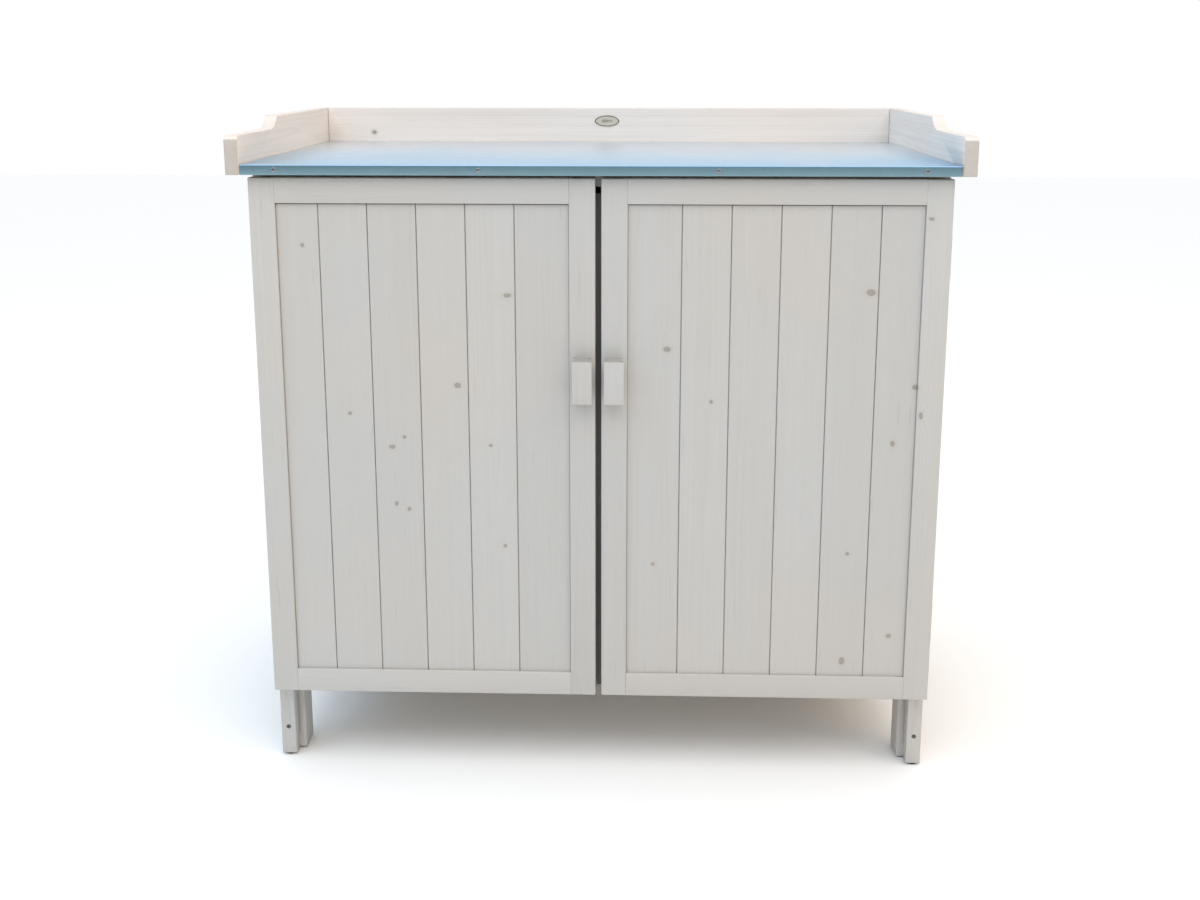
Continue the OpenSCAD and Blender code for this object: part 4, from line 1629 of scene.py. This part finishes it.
class POTTING_BENCH_OT_door_frames(bpy.types.Operator):
    """Builds the stiles and rails of both doors and the stop strip"""

    bl_idname = "potting_bench.door_frames"
    bl_label = "Door frames"

    def execute(self, context):
        """Makes the frames."""
        own = sizes()
        fine = own.joint_edge / own.door_edge
        for side in ("left", "right"):
            body = side + "_door"
            low = Vector((math.inf,) * 3)
            high = -low
            parts = [f"{body}_{part}" for part in ("outer_stile", "inner_stile")]
            rails = [f"{body}_{part}" for part in ("top_rail", "bottom_rail")]
            for node in parts:
                corner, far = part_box(node)
                low = Vector(map(min, low, corner))
                high = Vector(map(max, high, far))

            def share(middle, edge):
                outside = any(
                    min(abs(middle[axis] - low[axis]), abs(middle[axis] - high[axis])) < 1e-5
                    for axis in (0, 2)
                )
                along = (edge.verts[1].co - edge.verts[0].co).normalized()
                return 1.0 if outside and abs(along.y) < 0.5 or abs(along.y) > 0.9 else fine

            def rail_share(middle, edge):
                along = (edge.verts[1].co - edge.verts[0].co).normalized()
                outside = min(abs(middle.z - low.z), abs(middle.z - high.z)) < 1e-5
                if abs(along.x) < 0.9:
                    return 0.0
                return 1.0 if outside else fine

            for node in parts:
                timber_piece(
                    node + "_timber", node, body, own.door_edge, share, material="Limewashed doors"
                )
            for node in rails:
                timber_piece(
                    node + "_timber",
                    node,
                    body,
                    own.door_edge,
                    rail_share,
                    material="Limewashed doors",
                )
        timber_piece(
            "left_door_stop_strip_timber",
            "left_door_stop_strip",
            "left_door",
            own.timber_edge,
            material="Dark strip",
        )
        return {"FINISHED"}


class POTTING_BENCH_OT_door_boards(bpy.types.Operator):
    """Lays the six tongued boards of each door"""

    bl_idname = "potting_bench.door_boards"
    bl_label = "Door boards"

    def execute(self, context):
        """Makes one row for each door."""
        for side in ("left", "right"):
            body = side + "_door"
            nodes = [f"{body}_board_{number}" for number in range(1, 7)]
            boxes = [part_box(node) for node in nodes]
            if side == "left":
                edges = [low.x for low, high in boxes] + [boxes[-1][1].x]
            else:
                edges = [high.x for low, high in boxes] + [boxes[-1][0].x]
                edges.reverse()
            covers = [after - before for before, after in zip(edges, edges[1:])]
            low, high = boxes[0]
            board_row(
                body + "_boards",
                body,
                nodes,
                covers,
                high.y - low.y,
                high.z - low.z,
                row_place((edges[0], low.y, low.z), (1, 0, 0), (0, 1, 0), (0, 0, 1)),
                "limewashed_wood",
                "Limewashed panels",
            )
        return {"FINISHED"}


class POTTING_BENCH_OT_handles(bpy.types.Operator):
    """Builds the two wooden handle blocks"""

    bl_idname = "potting_bench.handles"
    bl_label = "Handles"

    def execute(self, context):
        """Makes the handles."""
        for body in ("left_door", "right_door"):
            node = body + "_handle"
            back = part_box(node)[1].y

            def share(middle, edge):
                return 0.0 if middle.y > back - 1e-5 else 1.0

            timber_piece(
                node + "_block",
                node,
                body,
                sizes().handle_edge,
                share,
                material="Limewashed doors",
            )
        return {"FINISHED"}


class POTTING_BENCH_OT_hinges(bpy.types.Operator):
    """Finishes hinges, pins and catch plates"""

    bl_idname = "potting_bench.hinges"
    bl_label = "Hinges and plates"

    def execute(self, context):
        """Gives the CAD metalwork its plating."""
        for node in (
            "hinge_frame_leaves",
            "hinge_pins",
            "left_door_hinge_leaves",
            "right_door_hinge_leaves",
            "left_door_catch_plate",
            "right_door_catch_plate",
        ):
            dress_cad(node, "Hinge steel")
        return {"FINISHED"}


class POTTING_BENCH_OT_catches(bpy.types.Operator):
    """Builds the magnetic catches with their pole plates"""

    bl_idname = "potting_bench.catches"
    bl_label = "Magnetic catches"

    def execute(self, context):
        """Makes bodies and poles."""
        bodies = bmesh.new()
        poles = bmesh.new()
        for points in cad_solids("magnet_catches"):
            low, high = Vector(points.min(0).tolist()), Vector(points.max(0).tolist())
            front = low.y + 0.8 * MM
            self.body(bodies, low, high, front)
            for z in (low.z + 2.6 * MM, high.z - 4.0 * MM):
                start = (low.x + 6 * MM, low.y, z)
                box_mesh(poles, start, (high.x - 6 * MM, high.y - 4 * MM, z + 1.4 * MM))
            inner = (low.x + 7 * MM, front + 0.6 * MM, low.z + 4.1 * MM)
            box_mesh(poles, inner, (high.x - 7 * MM, high.y - 5 * MM, high.z - 4.1 * MM))
        shell = rounded(to_mesh(bodies, "catch_bodies"), 1.0 * MM)
        metal = rounded(to_mesh(poles, "catch_poles"), 0.3 * MM, segments=2)
        nodes = ["magnet_catches"]
        add_piece("catch_bodies", shell, "cabinet", nodes, "catch_plastic", "Catch plastic")
        add_piece("catch_poles", metal, "cabinet", nodes, "hinge_steel", "Hinge steel")
        return {"FINISHED"}

    def body(self, shape, low, high, front):
        """A case with a slot in its front for the poles."""
        slot = 2.2 * MM
        depth = high.y - 4.5 * MM
        side = 5.6 * MM
        outline = [
            (low.x, front),
            (low.x + side, front),
            (low.x + side, depth),
            (high.x - side, depth),
            (high.x - side, front),
            (high.x, front),
            (high.x, high.y),
            (low.x, high.y),
        ]
        levels = (low.z + slot, high.z - slot)
        rings = [[shape.verts.new((x, y, z)) for x, y in outline] for z in levels]
        count = len(outline)
        for index in range(count):
            after = (index + 1) % count
            shape.faces.new(
                (rings[0][index], rings[0][after], rings[1][after], rings[1][index])
            )
        shape.faces.new(rings[0][::-1])
        shape.faces.new(rings[1])
        box_mesh(shape, (low.x, front, low.z), (high.x, high.y, low.z + slot))
        box_mesh(shape, (low.x, front, high.z - slot), high)
        bmesh.ops.recalc_face_normals(shape, faces=shape.faces)


class POTTING_BENCH_OT_screws(bpy.types.Operator):
    """Sets every screw, with countersunk or pan heads and cross recesses"""

    bl_idname = "potting_bench.screws"
    bl_label = "Screws"

    def execute(self, context):
        """Makes all screws."""
        sink = sizes().screw_sink
        bright, dull = ("bright_screws", "Bright screws"), ("screw_steel", "Dull screws")
        sets = (
            ("lip_pan_screws", "cabinet", "lip_screws", PAN, 0.0, bright),
            ("upstand_wood_screws", "cabinet", "upstand_screws", COUNTERSUNK, sink, dull),
            ("strip_wood_screws", "cabinet", "strip_screws", COUNTERSUNK, sink, dull),
            ("hinge_screws", "cabinet", "hinge_frame_screws", COUNTERSUNK, 0.0, dull),
            ("left_door_wood_screws", "left_door", "left_door_screws", COUNTERSUNK, 0.0, dull),
            ("right_door_wood_screws", "right_door", "right_door_screws", COUNTERSUNK, 0.0, dull),
        )
        for number, (name, body, node, profile, depth, finish) in enumerate(sets):
            fittings(name, body, [node], screw_mesh(profile), depth, 11 + number, *finish)
        return {"FINISHED"}


class POTTING_BENCH_OT_glides(bpy.types.Operator):
    """Sets a plastic glide under each leg"""

    bl_idname = "potting_bench.glides"
    bl_label = "Foot glides"

    def execute(self, context):
        """Makes the glides."""
        shape = bmesh.new()
        lathe(shape, GLIDE, 32)
        mesh = to_mesh(shape, "glide")
        fittings(
            "leg_glides", "cabinet", ["foot_glides"], mesh, 0.0, 5, "glide_plastic", "Glide plastic"
        )
        return {"FINISHED"}


BUILD_ORDER = (
    POTTING_BENCH_OT_stage,
    POTTING_BENCH_OT_worktop,
    POTTING_BENCH_OT_upstand,
    POTTING_BENCH_OT_plaque,
    POTTING_BENCH_OT_cabinet_frame,
    POTTING_BENCH_OT_walls,
    POTTING_BENCH_OT_floor_and_shelf,
    POTTING_BENCH_OT_door_frames,
    POTTING_BENCH_OT_door_boards,
    POTTING_BENCH_OT_handles,
    POTTING_BENCH_OT_hinges,
    POTTING_BENCH_OT_catches,
    POTTING_BENCH_OT_screws,
    POTTING_BENCH_OT_glides,
)


class POTTING_BENCH_PT_build(bpy.types.Panel):
    """Lists the build steps and the settings"""

    bl_idname = "POTTING_BENCH_PT_build"
    bl_label = "Potting bench"
    bl_space_type = "VIEW_3D"
    bl_region_type = "UI"
    bl_category = "Potting bench"

    def draw(self, context):
        """Draws the operators, then the settings."""
        steps = self.layout.column(align=True)
        for step in BUILD_ORDER:
            steps.operator(step.bl_idname)
        for group in (
            context.scene.potting_bench_sizes,
            context.scene.potting_bench_finishes,
            context.scene.potting_bench_stage,
        ):
            column = self.layout.column(align=True)
            for name in group.bl_rna.properties.keys():
                if name not in {"rna_type", "name"}:
                    column.prop(group, name)


SETTING_GROUPS = (PottingBenchSizes, PottingBenchFinishes, PottingBenchStage)
CLASSES = (*SETTING_GROUPS, *BUILD_ORDER, POTTING_BENCH_PT_build)


def register():
    """Registers the classes and adds the settings to the scene."""
    for entry in CLASSES:
        bpy.utils.register_class(entry)
    scene = bpy.types.Scene
    scene.potting_bench_sizes = PointerProperty(type=PottingBenchSizes)
    scene.potting_bench_finishes = PointerProperty(type=PottingBenchFinishes)
    scene.potting_bench_stage = PointerProperty(type=PottingBenchStage)


def unregister():
    """Takes the settings and the classes away again."""
    scene = bpy.types.Scene
    del scene.potting_bench_sizes
    del scene.potting_bench_finishes
    del scene.potting_bench_stage
    for entry in reversed(CLASSES):
        bpy.utils.unregister_class(entry)


def main():
    """Builds the whole bench."""
    register()
    for step in BUILD_ORDER:
        name = step.bl_idname.split(".")[1]
        getattr(bpy.ops.potting_bench, name)()


if __name__ == "__main__":
    main()
